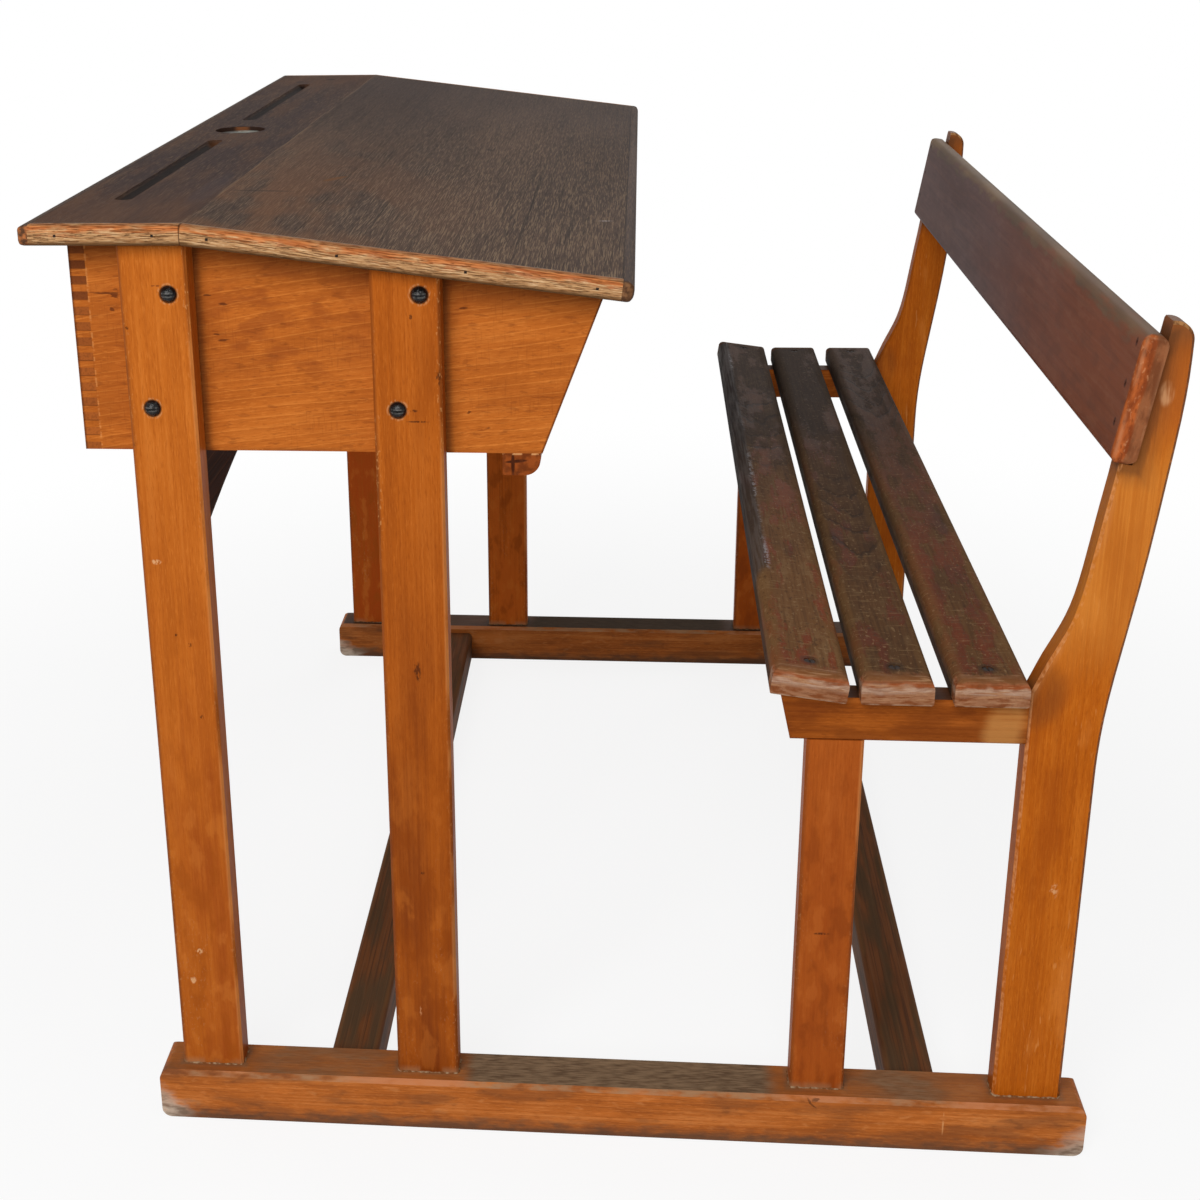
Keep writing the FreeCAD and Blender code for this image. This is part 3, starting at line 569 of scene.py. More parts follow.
place = begin("box_board_varnish")
y, z = place.parts()[1:]
board_colours = (200, 120, 56), (170, 94, 38), (134, 66, 24)
colour, fibre = honey(place, "x", (-0.37, 0.60), 0.009, 45.0, board_colours, 0.15)
end_grain = end_face(place)
luck = lot(place, (z - side_low.z) / finger_pitch, 3.0)
darkness = (z.between(0.62, 0.72) * 0.6 + luck * 0.5).between(0.0, 1.1)
end_colour = darkness.tint((160, 86, 34), (106, 54, 24))
end_colour = end_colour.wash(fibre.between(0.45, 0.65) * 0.3, 86, 42, 18)
end_colour = end_colour.wash((y - side_low.y).between(0.0025, 0.0006) * 0.6, 60, 30, 16)
colour = end_grain.tint(colour, end_colour)
lay(
    place, ["box_back", "box_bottom"] + both("top_cleat_rear") + both("top_cleat_front"),
    colour, 0.5 + end_grain * 0.2, fibre, 0.0003,
)


# Front rail of the box: a stiffening strip under the bottom board's edge, nosed on the lower front.
# Its sawn end shows dark end grain with an old cross-shaped check.
place = begin("front_rail_varnish")
y, z = place.parts()[1:]
rail_colours = (170, 92, 36), (138, 70, 22), (102, 48, 13)
colour, fibre = honey(place, "x", (-0.055, 0.50), 0.006, 51.0, rail_colours, 0.15)
end_grain = end_face(place)
rail_low, rail_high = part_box("box_front_rail")
blot = cloud(place, (120, 140, 140), 53.0, 3)
end_colour = blot.between(0.36, 0.64).tint((98, 44, 14), (136, 66, 24))
low_blot = blot.between(0.52, 0.4) * (z - rail_low.z).between(0.008, 0.0)
end_colour = end_colour.wash(low_blot * 0.4, 66, 28, 10)
colour = (end_grain * 0.9).tint(colour, end_colour)
check = dab(y, z, (-0.0618, 0.567), (0.0016, 0.010))
check = check.most(dab(y, z - (y + 0.06) * 0.1, (-0.0595, 0.5687), (0.010, 0.0014)))
check = check * end_grain * blot.between(0.25, 0.5)
colour = colour.wash(check * 0.85, 40, 16, 8)
rim = (z - rail_high.z).between(-0.0018, -0.0006) * end_grain * blot.between(0.42, 0.52)
colour = colour.wash(rim * 0.8, 206, 150, 96)
lay(place, ["box_front_rail"], colour, 0.45 + end_grain * 0.1, fibre * 0.4 - check, 0.0005)


# Frame bolts: coach bolts with domed, slotted heads that clamp each leg to the box side.
# Blackened steel, rubbed along the slots; dull washers and square nuts sit inside the box.
# Brads, nails and slat screws, set in their own pieces, are of the same iron gone rusty.
slot_lip = 0.0012
place = begin("bolt_black")
hammer = cloud(place, (420, 420, 420), 61.0, 2)
colour = hammer.between(0.54, 0.68).tint((10, 10, 11), (40, 38, 37))
y, z = place.parts()[1:]
lips = strongest([
    abs(abs(z - up) - slot_lip).between(0.0008, 0.0002) * abs(y - across).between(0.0055, 0.0035)
    for across, up in bolt_spots
])
colour = colour.wash(lips * hammer.between(0.36, 0.54) * 0.35, 122, 120, 116)
heads = ["frame_bolt_" + str(index) + end for index in range(1, 5) for end in ("_left", "_right")]
lay(place, heads, colour, 0.14 + hammer * 0.22, hammer, 0.0007, 0.22)

place = begin("dull_steel")
tarnish = cloud(place, (420, 420, 420), 63.0, 3)
colour = tarnish.between(0.35, 0.7).tint((36, 30, 27), (88, 80, 74))
lay(place, both("bolt_washers") + both("bolt_nuts"), colour, 0.4 + tarnish * 0.25, tarnish, 0.0002, 0.4)

place = begin("rusted_iron")
rust = cloud(place, (520, 520, 520), 64.0, 3)
colour = rust.between(0.36, 0.66).tint((20, 16, 14), (58, 44, 37))
pins = ["lipping_brads", "backrest_nails"]
pins += ["slat_screw_" + row + end for row in ("front", "middle", "rear") for end in ("_left", "_right")]
lay(place, pins, colour, 0.5 + rust * 0.3, rust, 0.0003, 0.12)


# Pen ledge: the level strip at the back of the top, with two pen grooves and a hole for the inkwell.
# Beech under a dark walnut stain, browner at the ends, grimy in the grooves with painted shade on their
# rear walls, and ringed with ink.
def stain(place, seed, body, deep):
    """Walnut stain on open grain: fine dashes, dark and pale, that run along the desk."""
    rings = growth(place, "x", (-0.1, 0.2), 0.013, 0.05, seed)
    drift = cloud(place, (3.2, 12, 12), seed + 1, 4)
    streak = cloud(place, (5, 300, 300), seed + 5, 3)
    dash = cloud(place, (62, 1050, 1050), seed + 3, 3)
    colour = drift.between(0.36, 0.62).tint(body, deep)
    colour = colour.wash(rings.between(0.4, 0.0) * 0.12, 104, 80, 62)
    colour = colour.wash(streak.between(0.5, 0.66) * 0.45, 40, 30, 26)
    colour = colour.wash(dash.between(0.53, 0.66) * 0.4, 122, 98, 74)
    colour = colour.wash(dash.between(0.46, 0.34) * 0.5, 36, 27, 23)
    return colour, dash * 0.6 + streak * 0.4, drift


def pale_joints(colour, x, y, smudge):
    """The top's colour, with thin pale lines along the end lippings and on both sides of the ridge."""
    end_line = (abs(x) - ledge_high.x).between(-0.0014, -0.0005) * smudge.between(0.36, 0.52)
    colour = colour.wash(end_line * 0.65, 186, 168, 146)
    ridge_line = abs(y - ledge_high.y).between(0.0018, 0.0005) * smudge.between(0.4, 0.56)
    return colour.wash(ridge_line * 0.35, 140, 116, 92)


groove_station = 0.048
groove_start = 0.070
hole_radius = 0.0235
groove_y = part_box("ledge_rear_lipping")[0].y + groove_station
well_low, well_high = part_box("inkwell")
well_y = (well_low.y + well_high.y) / 2
place = begin("ledge_stain")
x, y, z = place.parts()
below = ledge_high.z - z
colour, relief, drift = stain(place, 71.0, (68, 48, 39), (57, 42, 39))
browner = abs(x).between(0.26, 0.48)
colour = colour.wash(browner * 0.6, 86, 57, 39)
smudge = cloud(place, (9, 50, 50), 72.0, 4)
colour = colour.wash(smudge.between(0.5, 0.66) * 0.3, 96, 66, 45)
colour = colour.wash(smudge.between(0.5, 0.36) * 0.25, 44, 34, 34)
# The grooves are darkened a little all over for grime, and strongly on the rear wall as painted shade.
groove = below.between(0.0006, 0.0035)
rear_wall_shade = (y - groove_y).between(0.0015, -0.0025)
colour = colour.wash(groove * (rear_wall_shade * 0.7 + 0.2), 26, 19, 16)
inner_end = window(abs(x), groove_start - 0.004, groove_start + 0.014, 0.006)
worn_end = groove * inner_end * smudge.between(0.44, 0.54)
colour = colour.wash(worn_end * 0.5, 98, 62, 38)
reach = distance(x, y - well_y)
hole_gap = reach - hole_radius
# Painted shade: inside the hole the wall is painted dark, save a band of bare wood.
inside = hole_gap.between(0.0011, -0.0003) * below.between(0.0001, 0.0008)
raw = abs(y - well_y + 0.003).between(0.009, 0.003) * 0.8
colour = inside.tint(colour, raw.tint((50, 34, 26), (148, 90, 50)))
halo = hole_gap.between(0.0105, 0.0011) * drift.between(0.35, 0.6)
colour = colour.wash(halo * 0.45, 50, 38, 36)
ink_spots = dab(x, y, (-0.4155, -0.3700), (0.0085, 0.006))
ink_spots = ink_spots.most(dab(x, y, (-0.441, -0.3375), (0.0085, 0.007)))
colour = colour.wash(ink_spots * 0.75, 36, 25, 23)
stained = dab(x, y, (0.34, -0.303), (0.09, 0.012)) * drift.between(0.3, 0.55)
colour = colour.wash(stained * 0.4, 58, 49, 52)
back_line = (y - ledge_low.y).between(0.0012, 0.0004)
colour = pale_joints(colour.wash(back_line * 0.6, 36, 28, 24), x, y, smudge)
lay(place, ["pen_ledge"], colour, 0.55 + drift * 0.12, relief, 0.0006, 0.02)


# Inkwell: a flanged porcelain cup that hangs in the ledge and lifts out.
# White glaze, greyed and ringed green-black by old ink inside.
place = begin("inkwell_glaze")
x, y = place.parts()[:2]
reach = distance(x, y - well_y)
drip = cloud(place, (60, 60, 40), 75.0, 3)
colour = drip.between(0.4, 0.7).tint((164, 168, 158), (128, 132, 120))
# Painted shade: one half of the cup's inside is darkened.
colour = colour.wash((y - well_y).between(0.0, -0.012) * 0.85, 58, 50, 44)
colour = colour.wash(reach.between(0.0125, 0.0095) * 0.9, 46, 52, 50)
colour = colour.wash(reach.between(0.020, 0.023) * 0.5, 96, 92, 82)
lay(place, ["inkwell"], colour, 0.18 + drip * 0.15, drip, 0.0002, 0.5, 0.3)


# Writing board: the sloping half of the top, butted to the ledge along the ridge.
# Same stain, rubbed by sleeves so that pale flecks show towards the sitter's edge.
ridge = Vector((0.0, ledge_high.y, ledge_high.z))


def swung(place, centre, angle):
    """A place on a tilted piece as it was before the piece was swung about a line along the desk."""
    sockets = {"Vector": place, "Center": centre, "Angle": angle}
    return place.make("VectorRotate", {"rotation_type": "X_AXIS"}, sockets)


board_run = 0.3105
stave_count = 4
seam_y = ridge.y + board_run
stave = board_run / stave_count
place = begin("board_stain")
flat = swung(place, ridge, slope)
x, y = flat.parts()[:2]
colour, relief, drift = stain(flat, 81.0, (95, 73, 59), (79, 62, 53))
luck = lot(place, (y - ridge.y) / stave, 7.0)
colour = colour.wash(luck * 0.45, 58, 48, 45)
glued = place.maths("PINGPONG", y - ridge.y, stave / 2).between(0.0007, 0.0002) * drift.between(0.4, 0.56)
colour = colour.wash(glued * 0.5, 34, 27, 25)
rubbed = y.between(-0.28, -0.05) * 0.55 + x.between(-0.2, 0.4) * 0.6 + 0.1
fleck = cloud(flat, (52, 1900, 1900), 85.0, 2)
colour = colour.wash(fleck.between(0.51, 0.64) * rubbed * 0.44, 156, 131, 103)
colour = colour.wash(fleck.between(0.47, 0.35) * rubbed * 0.32, 40, 31, 26)
hair = cloud(flat, (2.5, 210, 210), 88.0, 2)
colour = colour.wash(hair.between(0.645, 0.68) * rubbed * 0.5, 38, 31, 29)
warm = x.between(-0.1, 0.45) * y.between(-0.05, -0.25)
smudge = cloud(flat, (8, 22, 22), 86.0, 3)
colour = colour.wash(warm * smudge.between(0.36, 0.56) * 0.55, 122, 84, 58)
# Painted shade and reflection: the far end of the board is darkened and greyed.
far_end_shade = x.between(0.0, -0.45)
colour = colour.wash(far_end_shade * 0.5, 64, 54, 52)
ink_spots = dab(x, y, (-0.0128, -0.1128), (0.006, 0.0035))
ink_spots = ink_spots.most(dab(x, y, (-0.0063, -0.0194), (0.006, 0.0035)))
colour = colour.wash(ink_spots * 0.7, 36, 30, 30)
rust_spot = dab(x + (y + 0.22) * 2.2, y, (0.238, -0.221), (0.010, 0.009))
colour = colour.wash(rust_spot * 0.7, 112, 72, 38)
streak = dab(x + (y + 0.264) * 0.63, y, (0.332, -0.264), (0.0030, 0.026))
colour = colour.wash(streak * 0.6, 42, 34, 34)
scratch = dab(x + (y - 0.004) * 0.66, y, (0.279, 0.004), (0.0016, 0.007)) * fleck.between(0.4, 0.5)
colour = colour.wash(scratch * 0.65, 196, 188, 186)
colour = pale_joints(colour, x, y, smudge)
front_line = (y - seam_y).between(-0.0014, -0.0004)
colour = colour.wash(front_line * 0.7, 36, 30, 28)
lay(place, ["writing_board"], colour, 0.57 + drift * 0.12, relief, 0.0006, 0.02)


# Lippings: thin strips bradded round the top; the long ones carry the stain over their noses.
# Along the ends hands have worn the varnish to bare tan wood under an orange upper arris.
def long_lipping_finish(node, place, flat, seed, sawn):
    below = ledge_high.z - flat.parts()[2]
    colour, relief, drift = stain(flat, seed, (88, 70, 60), (72, 58, 52))
    end_grain = abs(facing(place)[0]).between(0.35, 0.8)
    blot = cloud(flat, (190, 260, 260), seed + 6, 4)
    bare = blot.between(0.38, 0.62).tint(sawn, (84, 55, 36))
    bare = bare.wash(below.between(0.009, 0.014) * 0.6, 66, 43, 28)
    colour = (end_grain * 0.9).tint(colour, bare)
    nose = below.between(0.006, 0.013) * (1 - end_grain)
    colour = colour.wash(nose * 0.4, 46, 35, 30)
    lay(place, [node], colour, 0.55 + drift * 0.12, relief, 0.0006, 0.025)


place = begin("rear_lipping_stain")
long_lipping_finish("ledge_rear_lipping", place, place, 91.0, (172, 104, 58))
place = begin("front_lipping_stain")
long_lipping_finish("board_front_lipping", place, swung(place, ridge, slope), 93.0, (124, 86, 56))


def end_lipping_finish(nodes, place, flat, seed):
    y, z = flat.parts()[1:]
    below = ledge_high.z - z
    patch = cloud(flat, (40, 34, 150), seed + 1, 5)
    strand = cloud(flat, (800, 48, 1150), seed + 2, 4)
    split = cloud(flat, (900, 110, 1600), seed + 3, 3)
    colour = strand.between(0.34, 0.66).tint((144, 100, 62), (188, 146, 102))
    colour = colour.wash(split.between(0.55, 0.63) * 0.6, 98, 60, 34)
    colour = colour.wash(split.between(0.43, 0.34) * 0.5, 220, 188, 146)
    # The orange band along the rounded upper arris is partly varnish left there and partly a painted
    # highlight where the rounding catches the light.
    glow = strand.between(0.36, 0.62).tint((156, 80, 38), (198, 114, 56))
    glow = glow.wash(split.between(0.57, 0.66) * 0.5, 112, 58, 30)
    lit_arris_band = (below + (patch - 0.5) * 0.013 + (strand - 0.5) * 0.006).between(0.0060, 0.0030)
    colour = (lit_arris_band * patch.between(0.30, 0.46) * 0.8).tint(colour, glow)
    flush = patch.between(0.56, 0.63) * split.between(0.36, 0.5) * below.between(0.0095, 0.006)
    colour = colour.wash(flush * 0.5, 178, 96, 56)
    # The lower edge is painted darker, partly the wood's own tone and partly shade under the lipping.
    under = (below + (strand - 0.5) * 0.005).between(0.0102, 0.0138)
    colour = colour.wash(under * 0.85, 80, 52, 27)
    crest = (below + (patch - 0.5) * 0.003).between(0.0012, 0.0003)
    worn_crest = split.between(0.44, 0.56).tint((170, 128, 86), (98, 62, 38))
    colour = (crest * 0.6).tint(colour, worn_crest)
    seam = abs(y - ridge.y).between(0.0012, 0.0004)
    colour = colour.wash(seam * 0.8, 64, 34, 18)
    height = strand * 0.5 - split.between(0.56, 0.66) * 0.6
    lay(place, nodes, colour, 0.6 + patch * 0.1, height, 0.0007, 0.03)


place = begin("ledge_end_wear")
end_lipping_finish(both("ledge_end_lipping"), place, place, 95.0)
place = begin("board_end_wear")
end_lipping_finish(both("board_end_lipping"), place, swung(place, ridge, slope), 97.0)


# Bench legs and seat rails: the rail is tenoned into the post and stands on the leg.
# Reddish honey varnish, pale along the legs' arrises; a bare patch shows beside the post.
bench_leg_colours = (188, 104, 42), (164, 82, 25), (126, 56, 14)
leg_finish(
    "bench_leg_varnish", "bench_front_leg", 101.0, bench_leg_colours,
    (140, 62, 16), (152, 69, 14), [(0.178, 0.19, 0.008, 0.0012, dark_mark)],
)
bare_start = 0.293
bare_end = 0.318
place = begin("seat_rail_varnish")
y = place.parts()[1]
seat_rail_colours = (172, 94, 34), (142, 72, 18), (106, 48, 9)
colour, fibre = honey(place, "y", (0.40, 0.30), 0.007, 105.0, seat_rail_colours, 0.16, 0.02)
smear = cloud(place, (30, 14, 40), 106.0, 4)
colour = colour.wash(smear.between(0.48, 0.64) * 0.5, 96, 42, 10)
bare = window(y + (smear - 0.5) * 0.03, bare_start, bare_end, 0.005)
bare = bare * (fibre * 0.4 + smear * 0.6).between(0.3, 0.56)
colour = colour.wash(bare * 0.7, 180, 124, 66)
# Painted shade: the rail's top faces, under the slats, are darkened.
under_slat_shade = facing(place)[2].between(0.7, 0.95)
colour = colour.wash(under_slat_shade * 0.8, 46, 34, 26)
lay(place, both("seat_rail"), colour, 0.45 + smear * 0.12, fibre, 0.0003)


# Back posts: sawn to a sabre curve from one wide board, upright below the seat and swept back above.
# Yellow honey varnish, rubbed pale along the front arris and dark with grease round the backrest.
post_front_bend = 0.400
post_front_rise = 0.240
post_front_sweep = 0.049
post_front_shares = ((0, 0), (0.09, 0.18), (0.22, 0.47), (0.4, 0.68), (0.58, 0.81), (1, 1))
back_low, back_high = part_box("backrest_board")
back_foot_height = 0.5805
back_pivot = Vector((0.0, back_low.y, back_foot_height))
back_lean = math.radians(9.3)
back_thickness = 0.018
back_width = 0.094
back_front = 0.3576


def near_half(x):
    return x.between(-0.1, 0.1)


place = begin("post_varnish")
x, y, z = place.parts()
post_colours = (198, 114, 34), (172, 87, 14), (140, 64, 8)
colour, fibre = honey(place, "z", (0.30, 0.02), 0.011, 111.0, post_colours, 0.15, 0.04, 0.6)
smear = cloud(place, (30, 30, 9), 112.0, 4)
fleck = cloud(place, (300, 300, 50), 113.0, 2)
grit = cloud(place, (330, 330, 240), 114.0, 3)
colour = colour.wash(smear.between(0.5, 0.66) * 0.45, 140, 62, 10)
colour = colour.wash(smear.between(0.42, 0.3) * 0.4, 204, 122, 50)
colour = colour.wash(fleck.between(0.62, 0.7) * smear.between(0.5, 0.4) * 0.25, 226, 160, 92)
middle = window(z + (smear - 0.5) * 0.1, 0.43, 0.585, 0.035) * near_half(x)
sunned = (smear * 0.6 + fibre * 0.4).between(0.4, 0.6).tint((206, 128, 50), (184, 106, 36))
colour = (middle * 0.7).tint(colour, sunned)
upper = (z + (smear - 0.5) * 0.08).between(0.575, 0.62)
colour = (upper * 0.6).tint(colour, smear.between(0.36, 0.62).tint((182, 96, 36), (140, 76, 32)))
rise = (z - post_front_bend) / post_front_rise
sweep = place.make("FloatCurve", {"points": post_front_shares}, {"Value": rise})
front_gap = y - post_foot_front - sweep * post_front_sweep
rub = front_gap.between(0.007, 0.002) * smear.between(0.42, 0.6) * near_half(x)
colour = colour.wash(rub * 0.3, 210, 142, 84)
# Painted shade: the post's narrow faces are darkened, as the sides turned from the light.
narrow_face_shade = (1 - end_face(place)) * smear.between(0.3, 0.7)
colour = colour.wash(narrow_face_shade * 0.45, 120, 60, 22)
seat_grime = dab(y, z, (post_foot_front, 0.40), (0.03, 0.035)) * smear.between(0.34, 0.6)
colour = colour.wash(seat_grime * 0.45, 96, 52, 24)
face_x, face_y, face_z = facing(place)
crown = z.between(0.66, 0.675) * (0.35 + face_z.between(0.4, 0.8) * 0.5)
colour = colour.wash(crown, 100, 74, 50)
_, stood_y, stood_z = swung(place, back_pivot, back_lean).parts()
behind = (back_front - stood_y).most(stood_y - back_front - back_thickness)
beyond = (back_pivot.z - stood_z).most(stood_z - back_pivot.z - back_width)
round_back = behind.most(beyond) + (smear - 0.5) * 0.02 + (fleck - 0.5) * 0.008
colour = colour.wash(round_back.between(0.020, 0.003) * 0.5, 112, 66, 34)
colour = colour.wash(round_back.between(0.009, 0.002) * 0.45, 70, 46, 30)
chamfer = window(abs(face_x), 0.6, 0.8, 0.06)
# Painted shade: the chamfers that face the back of the seat are darkened, broken up by grit.
rear_chamfer_shade = chamfer * face_y.between(0.2, 0.4) * grit.between(0.3, 0.5)
colour = colour.wash(rear_chamfer_shade * 0.7, 98, 58, 28)
front_wear = chamfer * face_y.between(-0.2, -0.4) * (smear * 0.5 + grit * 0.5).between(0.4, 0.6)
colour = colour.wash(front_wear * near_half(x) * 0.5, 218, 152, 100)
top_wear = chamfer * face_z.between(0.3, 0.5) * grit.between(0.36, 0.56)
colour = colour.wash(top_wear * 0.6, 196, 142, 88)
jitter = (grit - 0.5) * 0.008
chip = dab(y, z, (0.392, 0.630), (0.006, 0.011)) * fleck.between(0.3, 0.64) * 0.8
chip = chip.most(dab(y + jitter, z, (0.352, 0.235), (0.003, 0.008)) * grit.between(0.38, 0.54))
colour = colour.wash(chip * near_frame(x) * 0.6, 212, 164, 118)
lay(place, both("back_post"), colour, 0.4 + smear * 0.15, fibre, 0.0003)


# Seat slats: three boards screwed down on the rails, rounded on every long arris and at the ends.
# Brown varnish worn through by sitting: red where it is left, grey and splintered at the arrises.
middle_low, middle_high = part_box("seat_slat_middle")
slat_thickness = middle_high.z - middle_low.z
front_slat_width = 0.057
front_slat_gap = 0.0105
rail_break_gap = 0.0085
slat_hinge = Vector((0.0, middle_low.y - rail_break_gap, middle_low.z))
screw_x = sum(corner.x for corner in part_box("slat_screw_middle_left")) / 2


def slat_finish(name, node, seed, tilt, red, dark, arch, frayed):
    """A slat's wear: varnish left, depth of stain, where its grain arches, if its nose is frayed."""
    place = begin(name)
    low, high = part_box(node)
    flat = place
    front, back = low.y, high.y
    if tilt:
        flat = swung(place, slat_hinge, math.radians(tilt))
        back = middle_low.y - front_slat_gap
        front = back - front_slat_width
    x, y, z = flat.parts()
    centre = (front + back) / 2
    drift = cloud(flat, (6, 34, 34), seed + 1, 5)
    strand = cloud(flat, (18, 420, 420), seed + 2, 4)
    wear = cloud(flat, (42, 80, 80), seed + 3, 6)
    wipe = cloud(flat, (13, 62, 62), seed + 8, 5)
    smear = cloud(flat, (8, 30, 30), seed + 9, 4)
    scratch = cloud(flat, (520, 60, 60), seed + 5, 4)
    speck = cloud(flat, (200, 330, 330), seed + 4, 4)
    # Painted shade: each colour of the slat blends to a darker far copy towards the desk's far end.
    far_shade = (x + (drift - 0.5) * 0.4).between(0.34, -0.3)
    colour = far_shade.tint((112, 76, 44), (60, 45, 35))
    colour = (wear.between(0.5, 0.62) * 0.5).tint(colour, far_shade.tint((132, 100, 66), (72, 56, 43)))
    colour = (strand.between(0.5, 0.64) * 0.3).tint(colour, far_shade.tint((62, 41, 27), (40, 32, 28)))
    colour = (strand.between(0.45, 0.35) * 0.2).tint(colour, far_shade.tint((140, 106, 72), (82, 66, 51)))
    bow = (y - centre) / (back - front)
    arches = place.maths("FRACT", (x - arch) * 19 + bow * bow * 5.5 + (drift - 0.5) * 2.6)
    figure = arches.between(0.26, 0.08) * arches.between(0.0, 0.05) + arches.between(0.4, 1.0) * 0.4
    figure = figure * window(x, arch - 0.11, arch + 0.15, 0.06)
    hold = wipe * 0.6 + wear * 0.25 + drift * 0.35 + strand * 0.12 + speck * 0.1 + red
    remains = hold.between(0.715, 0.785)
    unscratched = (scratch * 0.6 + speck * 0.4).between(0.36, 0.48)
    varnish = unscratched.tint((124, 82, 46), (124, 52, 14))
    colour = (remains * (1 - far_shade * 0.45) * 0.92).tint(colour, far_shade.tint(varnish, (80, 48, 30)))
    rim = remains * hold.between(0.84, 0.78)
    colour = colour.wash(rim * (1 - far_shade) * 0.25, 76, 36, 16)
    colour = (figure * 0.75).tint(colour, far_shade.tint((48, 31, 21), (34, 27, 25)))
    dimmed = smear.between(0.5, 0.64) * window(x, -0.3, 0.3, 0.1)
    colour = colour.wash(dimmed * 0.45, 48, 37, 31)
    soaked = dark * (0.4 + smear * 0.7 + strand * 0.5)
    colour = colour.wash(soaked, 36, 24, 17)
    sides = (y - front).least(back - y)
    worn = (sides + (drift - 0.5) * 0.02 + (speck - 0.5) * 0.006).between(0.011, 0.004)
    colour = (worn * 0.45).tint(colour, far_shade.tint((124, 92, 60), (65, 54, 44)))
    colour = colour.wash(scratch.between(0.6, 0.68) * (1 - far_shade) * 0.3, 156, 126, 88)
    colour = (speck.between(0.6, 0.68) * 0.45).tint(colour, far_shade.tint((152, 122, 86), (86, 70, 54)))
    colour = (speck.between(0.4, 0.32) * 0.5).tint(colour, far_shade.tint((58, 38, 26), (38, 31, 28)))
    depth = (middle_high.z - z) / slat_thickness
    # Painted shade: the lower sides and the underside of the slat are darkened.
    colour = colour.wash(depth.between(0.36, 0.6) * 0.75, 38, 29, 24)
    if frayed:
        torn = (x + (y - front) * 1.5).between(0.31, 0.285)
        splinters = strand.between(0.4, 0.6).tint((52, 49, 49), (84, 80, 79))
        colour = ((y - front).between(0.012, 0.008) * torn * 0.7).tint(colour, splinters)
        line = abs(y - front - 0.0112 + (speck - 0.5) * 0.012).between(0.0026, 0.0006) * torn
        line = line * speck.between(0.44, 0.58) * (drift + x * 0.35).between(0.42, 0.54)
        colour = colour.wash(line * 0.55, 164, 162, 164)
    lick = cloud(flat, (160, 75, 260), seed + 6, 6)
    grained = cloud(flat, (400, 40, 620), seed + 7, 3)
    rubbed = lick.between(0.38, 0.62).tint((122, 68, 38), (154, 108, 78))
    rubbed = rubbed.wash(depth.between(0.16, 0.06) * 0.7, 118, 80, 48)
    ruddy = window(depth + (lick - 0.5) * 0.4, 0.12, 0.22, 0.05)
    rubbed = rubbed.wash(ruddy * 0.5, 152, 74, 36)
    # Painted highlight: a soft pale band across the upper part of the rounded end.
    pale = window(depth + (lick - 0.5) * 0.5, 0.27, 0.5, 0.12) * grained.between(0.34, 0.56)
    rubbed = rubbed.wash(pale * 0.65, 192, 164, 142)
    rubbed = rubbed.wash(grained.between(0.44, 0.34) * 0.3, 204, 162, 122)
    rubbed = rubbed.wash(grained.between(0.54, 0.66) * 0.5, 112, 66, 40)
    rubbed = rubbed.wash(lick.between(0.56, 0.66) * 0.3, 104, 56, 30)
    rubbed = rubbed.wash(depth.between(0.88, 0.98) * lick.between(0.42, 0.5) * 0.6, 196, 168, 140)
    # Painted shade: the ends at the far end of the desk are darkened.
    rubbed = rubbed.wash(far_half(x) * 0.8, 66, 46, 34)
    ends = (abs(x) + (lick - 0.5) * 0.012 + (speck - 0.5) * 0.006).between(0.4765, 0.4835)
    colour = (ends * 0.92).tint(colour, rubbed)
    ring = dab(abs(x), y, (screw_x, centre), (0.010, 0.009))
    colour = colour.wash(ring * 0.55, 46, 35, 29)
    height = strand * 0.4 + wear * 0.3 + remains * 0.25 - figure * 0.2
    lay(place, [node], colour, 0.58 + worn * 0.15 - remains * 0.12, height, 0.0010, 0.015)


slat_finish("front_slat_wear", "seat_slat_front", 121.0, 7.5, 0.01, 0.04, -0.15, True)
slat_finish("middle_slat_wear", "seat_slat_middle", 127.0, 0, -0.02, 0.48, 0.13, False)
slat_finish("rear_slat_wear", "seat_slat_rear", 133.0, 0, 0.06, 0.33, -0.3, False)


# Backrest: one board leaning in the posts' notches, nailed, with every edge rounded over.
# Purple-brown varnish polished by backs, redder at the near end and painted darker towards the far end as
# shade; its ends and top edge worn bare.
nail_shares = 0.28, 0.58, 0.9
place = begin("backrest_varnish")
flat = swung(place, back_pivot, back_lean)
x, y, z = flat.parts()
rings = growth(flat, "x", (0.30, 0.60), 0.012, 0.06, 141.0)
drift = cloud(flat, (4, 22, 22), 142.0, 4)
strand = cloud(flat, (7, 240, 240), 144.0, 4)
mottle = cloud(flat, (34, 110, 110), 146.0, 5)
# Painted shade: each colour of the board blends to a darker, greyer far copy towards the desk's far end.
far_shade = (x + (drift - 0.5) * 0.3).between(0.42, -0.25)
colour = far_shade.tint((123, 68, 44), (92, 67, 63))
colour = (drift.between(0.48, 0.62) * 0.3).tint(colour, far_shade.tint((98, 52, 34), (78, 56, 52)))
colour = colour.wash(rings.between(0.3, 0.0) * 0.12, 124, 86, 66)
colour = (mottle.between(0.52, 0.64) * 0.3).tint(colour, far_shade.tint((92, 56, 42), (76, 58, 54)))
colour = (mottle.between(0.46, 0.35) * 0.25).tint(colour, far_shade.tint((138, 88, 62), (112, 84, 78)))
colour = colour.wash(strand.between(0.5, 0.66) * 0.14, 60, 40, 36)
colour = colour.wash(strand.between(0.42, 0.34) * 0.10, 138, 98, 78)
upper = (z + (drift - 0.5) * 0.012 + (mottle - 0.5) * 0.035).between(0.6605, 0.6735)
colour = (upper * 0.75).tint(colour, drift.between(0.38, 0.62).tint((128, 104, 76), (92, 77, 60)))
ends = abs(x).between(0.4785, 0.4825)
lick = cloud(flat, (160, 160, 60), 143.0, 4)
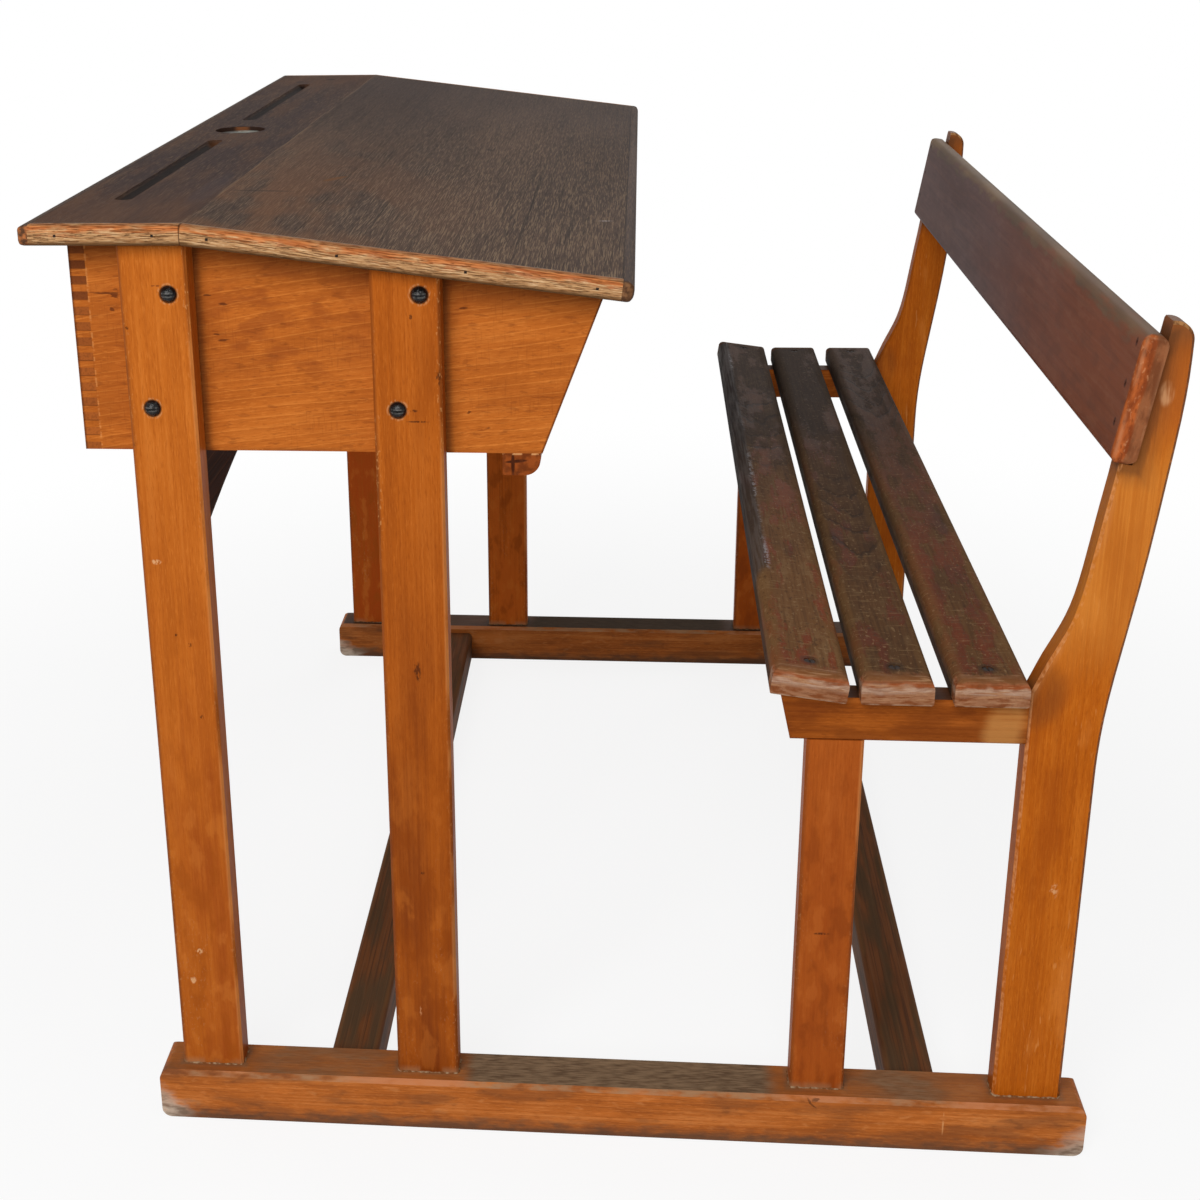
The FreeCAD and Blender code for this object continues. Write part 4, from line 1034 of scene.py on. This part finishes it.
speck = cloud(flat, (420, 420, 200), 145.0, 3)
glow = lick.between(0.38, 0.62).tint((128, 60, 27), (176, 90, 41))
glow = glow.wash(speck.between(0.58, 0.68) * 0.4, 210, 150, 104)
glow = glow.wash(speck.between(0.42, 0.32) * 0.5, 92, 42, 20)
back_foot = (back_low.x, back_front, back_pivot.z)
back_head = (back_high.x, back_front + back_thickness, back_pivot.z + back_width)
rim = arris(flat.parts(), back_foot, back_head).between(0.004, 0.0015)
glow = glow.wash(rim * drift.between(0.4, 0.55) * 0.3, 206, 156, 116)
rear_half = (y + (lick - 0.5) * 0.005).between(back_front + 0.007, back_front + 0.010)
glow = (rear_half * 0.75).tint(glow, lick.between(0.36, 0.64).tint((104, 64, 40), (128, 86, 58)))
# Painted shade: the end at the far end of the desk is darkened.
glow = glow.wash(far_half(x) * 0.7, 84, 52, 40)
colour = (ends * 0.92).tint(colour, glow)
nail_heights = [back_pivot.z + back_width * share for share in nail_shares]
nail_rings = [dab(abs(x), z, (screw_x, height), (0.003, 0.004)) for height in nail_heights]
colour = colour.wash(strongest(nail_rings) * (1 - ends) * 0.7, 40, 24, 20)
lay(place, ["backrest_board"], colour, 0.46 + drift * 0.12, strand * 0.6 + drift * 0.4, 0.0006, 0.03)


# Floor: a plain pale sheet that keeps the soft shadow and fades to the white backdrop around it.
# One wide disc of matt paper laid just under the runners, and no part of the desk.
def seen(place):
    """1 for what the camera sees, straight or in a reflection, and 0 for light on its way to a piece."""
    paths = place.make("LightPath", {}, {}).socket.node.outputs
    kinds = "Is Camera Ray", "Is Glossy Ray", "Is Transmission Ray"
    return strongest([Tone(place.material, paths[kind]) for kind in kinds])


floor_radius = 6.0
floor_spot = (0, 0, -0.0005)
bpy.ops.mesh.primitive_circle_add(vertices=96, radius=floor_radius, fill_type="NGON", location=floor_spot)
floor = bpy.context.object
floor.name = "studio_floor"
place = begin("studio_floor")
reach = distance(*place.parts()[:2])
paper = cloud(place, (3, 3, 3), 151.0)
base = paper.between(0.3, 0.7).tint((240, 240, 240), (244, 244, 244))
matt = place.make("BsdfDiffuse", {}, {"Color": base})
white = place.make("Emission", {}, {"Color": (1, 1, 1, 1), "Strength": 1.0})
fade = seen(place) * (reach.between(0.5, 1.6) * 0.15 + 0.85)
surface = place.make("MixShader", {}, {0: fade, 1: matt, 2: white})
place.make("OutputMaterial", {}, {"Surface": surface})
floor.data.materials.append(place.material)


# Studio light: one large soft box over the camera's shoulder, a weak one behind, and an even dome.
# The boxes are lamps turned towards the desk; the dome lights it dimly and shows as plain white.
def soft_box(name, spot, aim, size, power):
    lamp = bpy.data.lights.new(name, "AREA")
    lamp.shape = "RECTANGLE"
    lamp.size = size[0]
    lamp.size_y = size[1]
    lamp.energy = power
    holder = bpy.data.objects.new(name, lamp)
    bpy.context.scene.collection.objects.link(holder)
    holder.location = spot
    holder.rotation_mode = "QUATERNION"
    holder.rotation_quaternion = (Vector(aim) - Vector(spot)).to_track_quat("-Z", "Y")


soft_box("key_box", (2.9, -0.6, 2.1), (0.1, 0.0, 0.45), (2.0, 1.6), 79)
soft_box("back_box", (-2.6, 0.9, 2.2), (0.0, 0.0, 0.5), (1.6, 1.6), 16)
world = bpy.data.worlds.new("studio_dome")
bpy.context.scene.world = world
world.use_nodes = True
world.node_tree.nodes.clear()
dome = Tone(world, None)
fill = dome.make("Background", {}, {"Color": (1, 1, 1, 1), "Strength": 0.3})
plain = dome.make("Background", {}, {"Color": (1, 1, 1, 1), "Strength": 1.0})
backdrop = dome.make("MixShader", {}, {0: seen(dome), 1: fill, 2: plain})
dome.make("OutputWorld", {}, {"Surface": backdrop})
bpy.context.scene.view_settings.view_transform = "Standard"


# Camera: standing at the near end, looking down along the desk, as the photograph was taken.
# Its place and turn were fitted to the desk's edges, and a slight shift frames them the same way.
eye = Vector((1.70885, 0.02694, 0.97488))
yaw = math.radians(5.45)
pitch = math.radians(19.7)
roll = math.radians(-1.06)
ahead = Vector((-math.cos(yaw) * math.cos(pitch), -math.sin(yaw) * math.cos(pitch), -math.sin(pitch)))
level_right = Vector((-math.sin(yaw), math.cos(yaw), 0.0))
level_up = level_right.cross(ahead)
right = level_right * math.cos(roll) + level_up * math.sin(roll)
up = level_up * math.cos(roll) - level_right * math.sin(roll)
lens = bpy.data.cameras.new("camera")
lens.lens = 53.75
lens.sensor_width = 36.0
lens.shift_x = 0.1062
lens.shift_y = -0.0693
lens.clip_start = 0.05
lens.clip_end = 60.0
camera = bpy.data.objects.new("camera", lens)
bpy.context.scene.collection.objects.link(camera)
turn = Matrix((right, up, -ahead)).transposed()
camera.matrix_world = Matrix.Translation(eye) @ turn.to_4x4()
bpy.context.scene.camera = camera
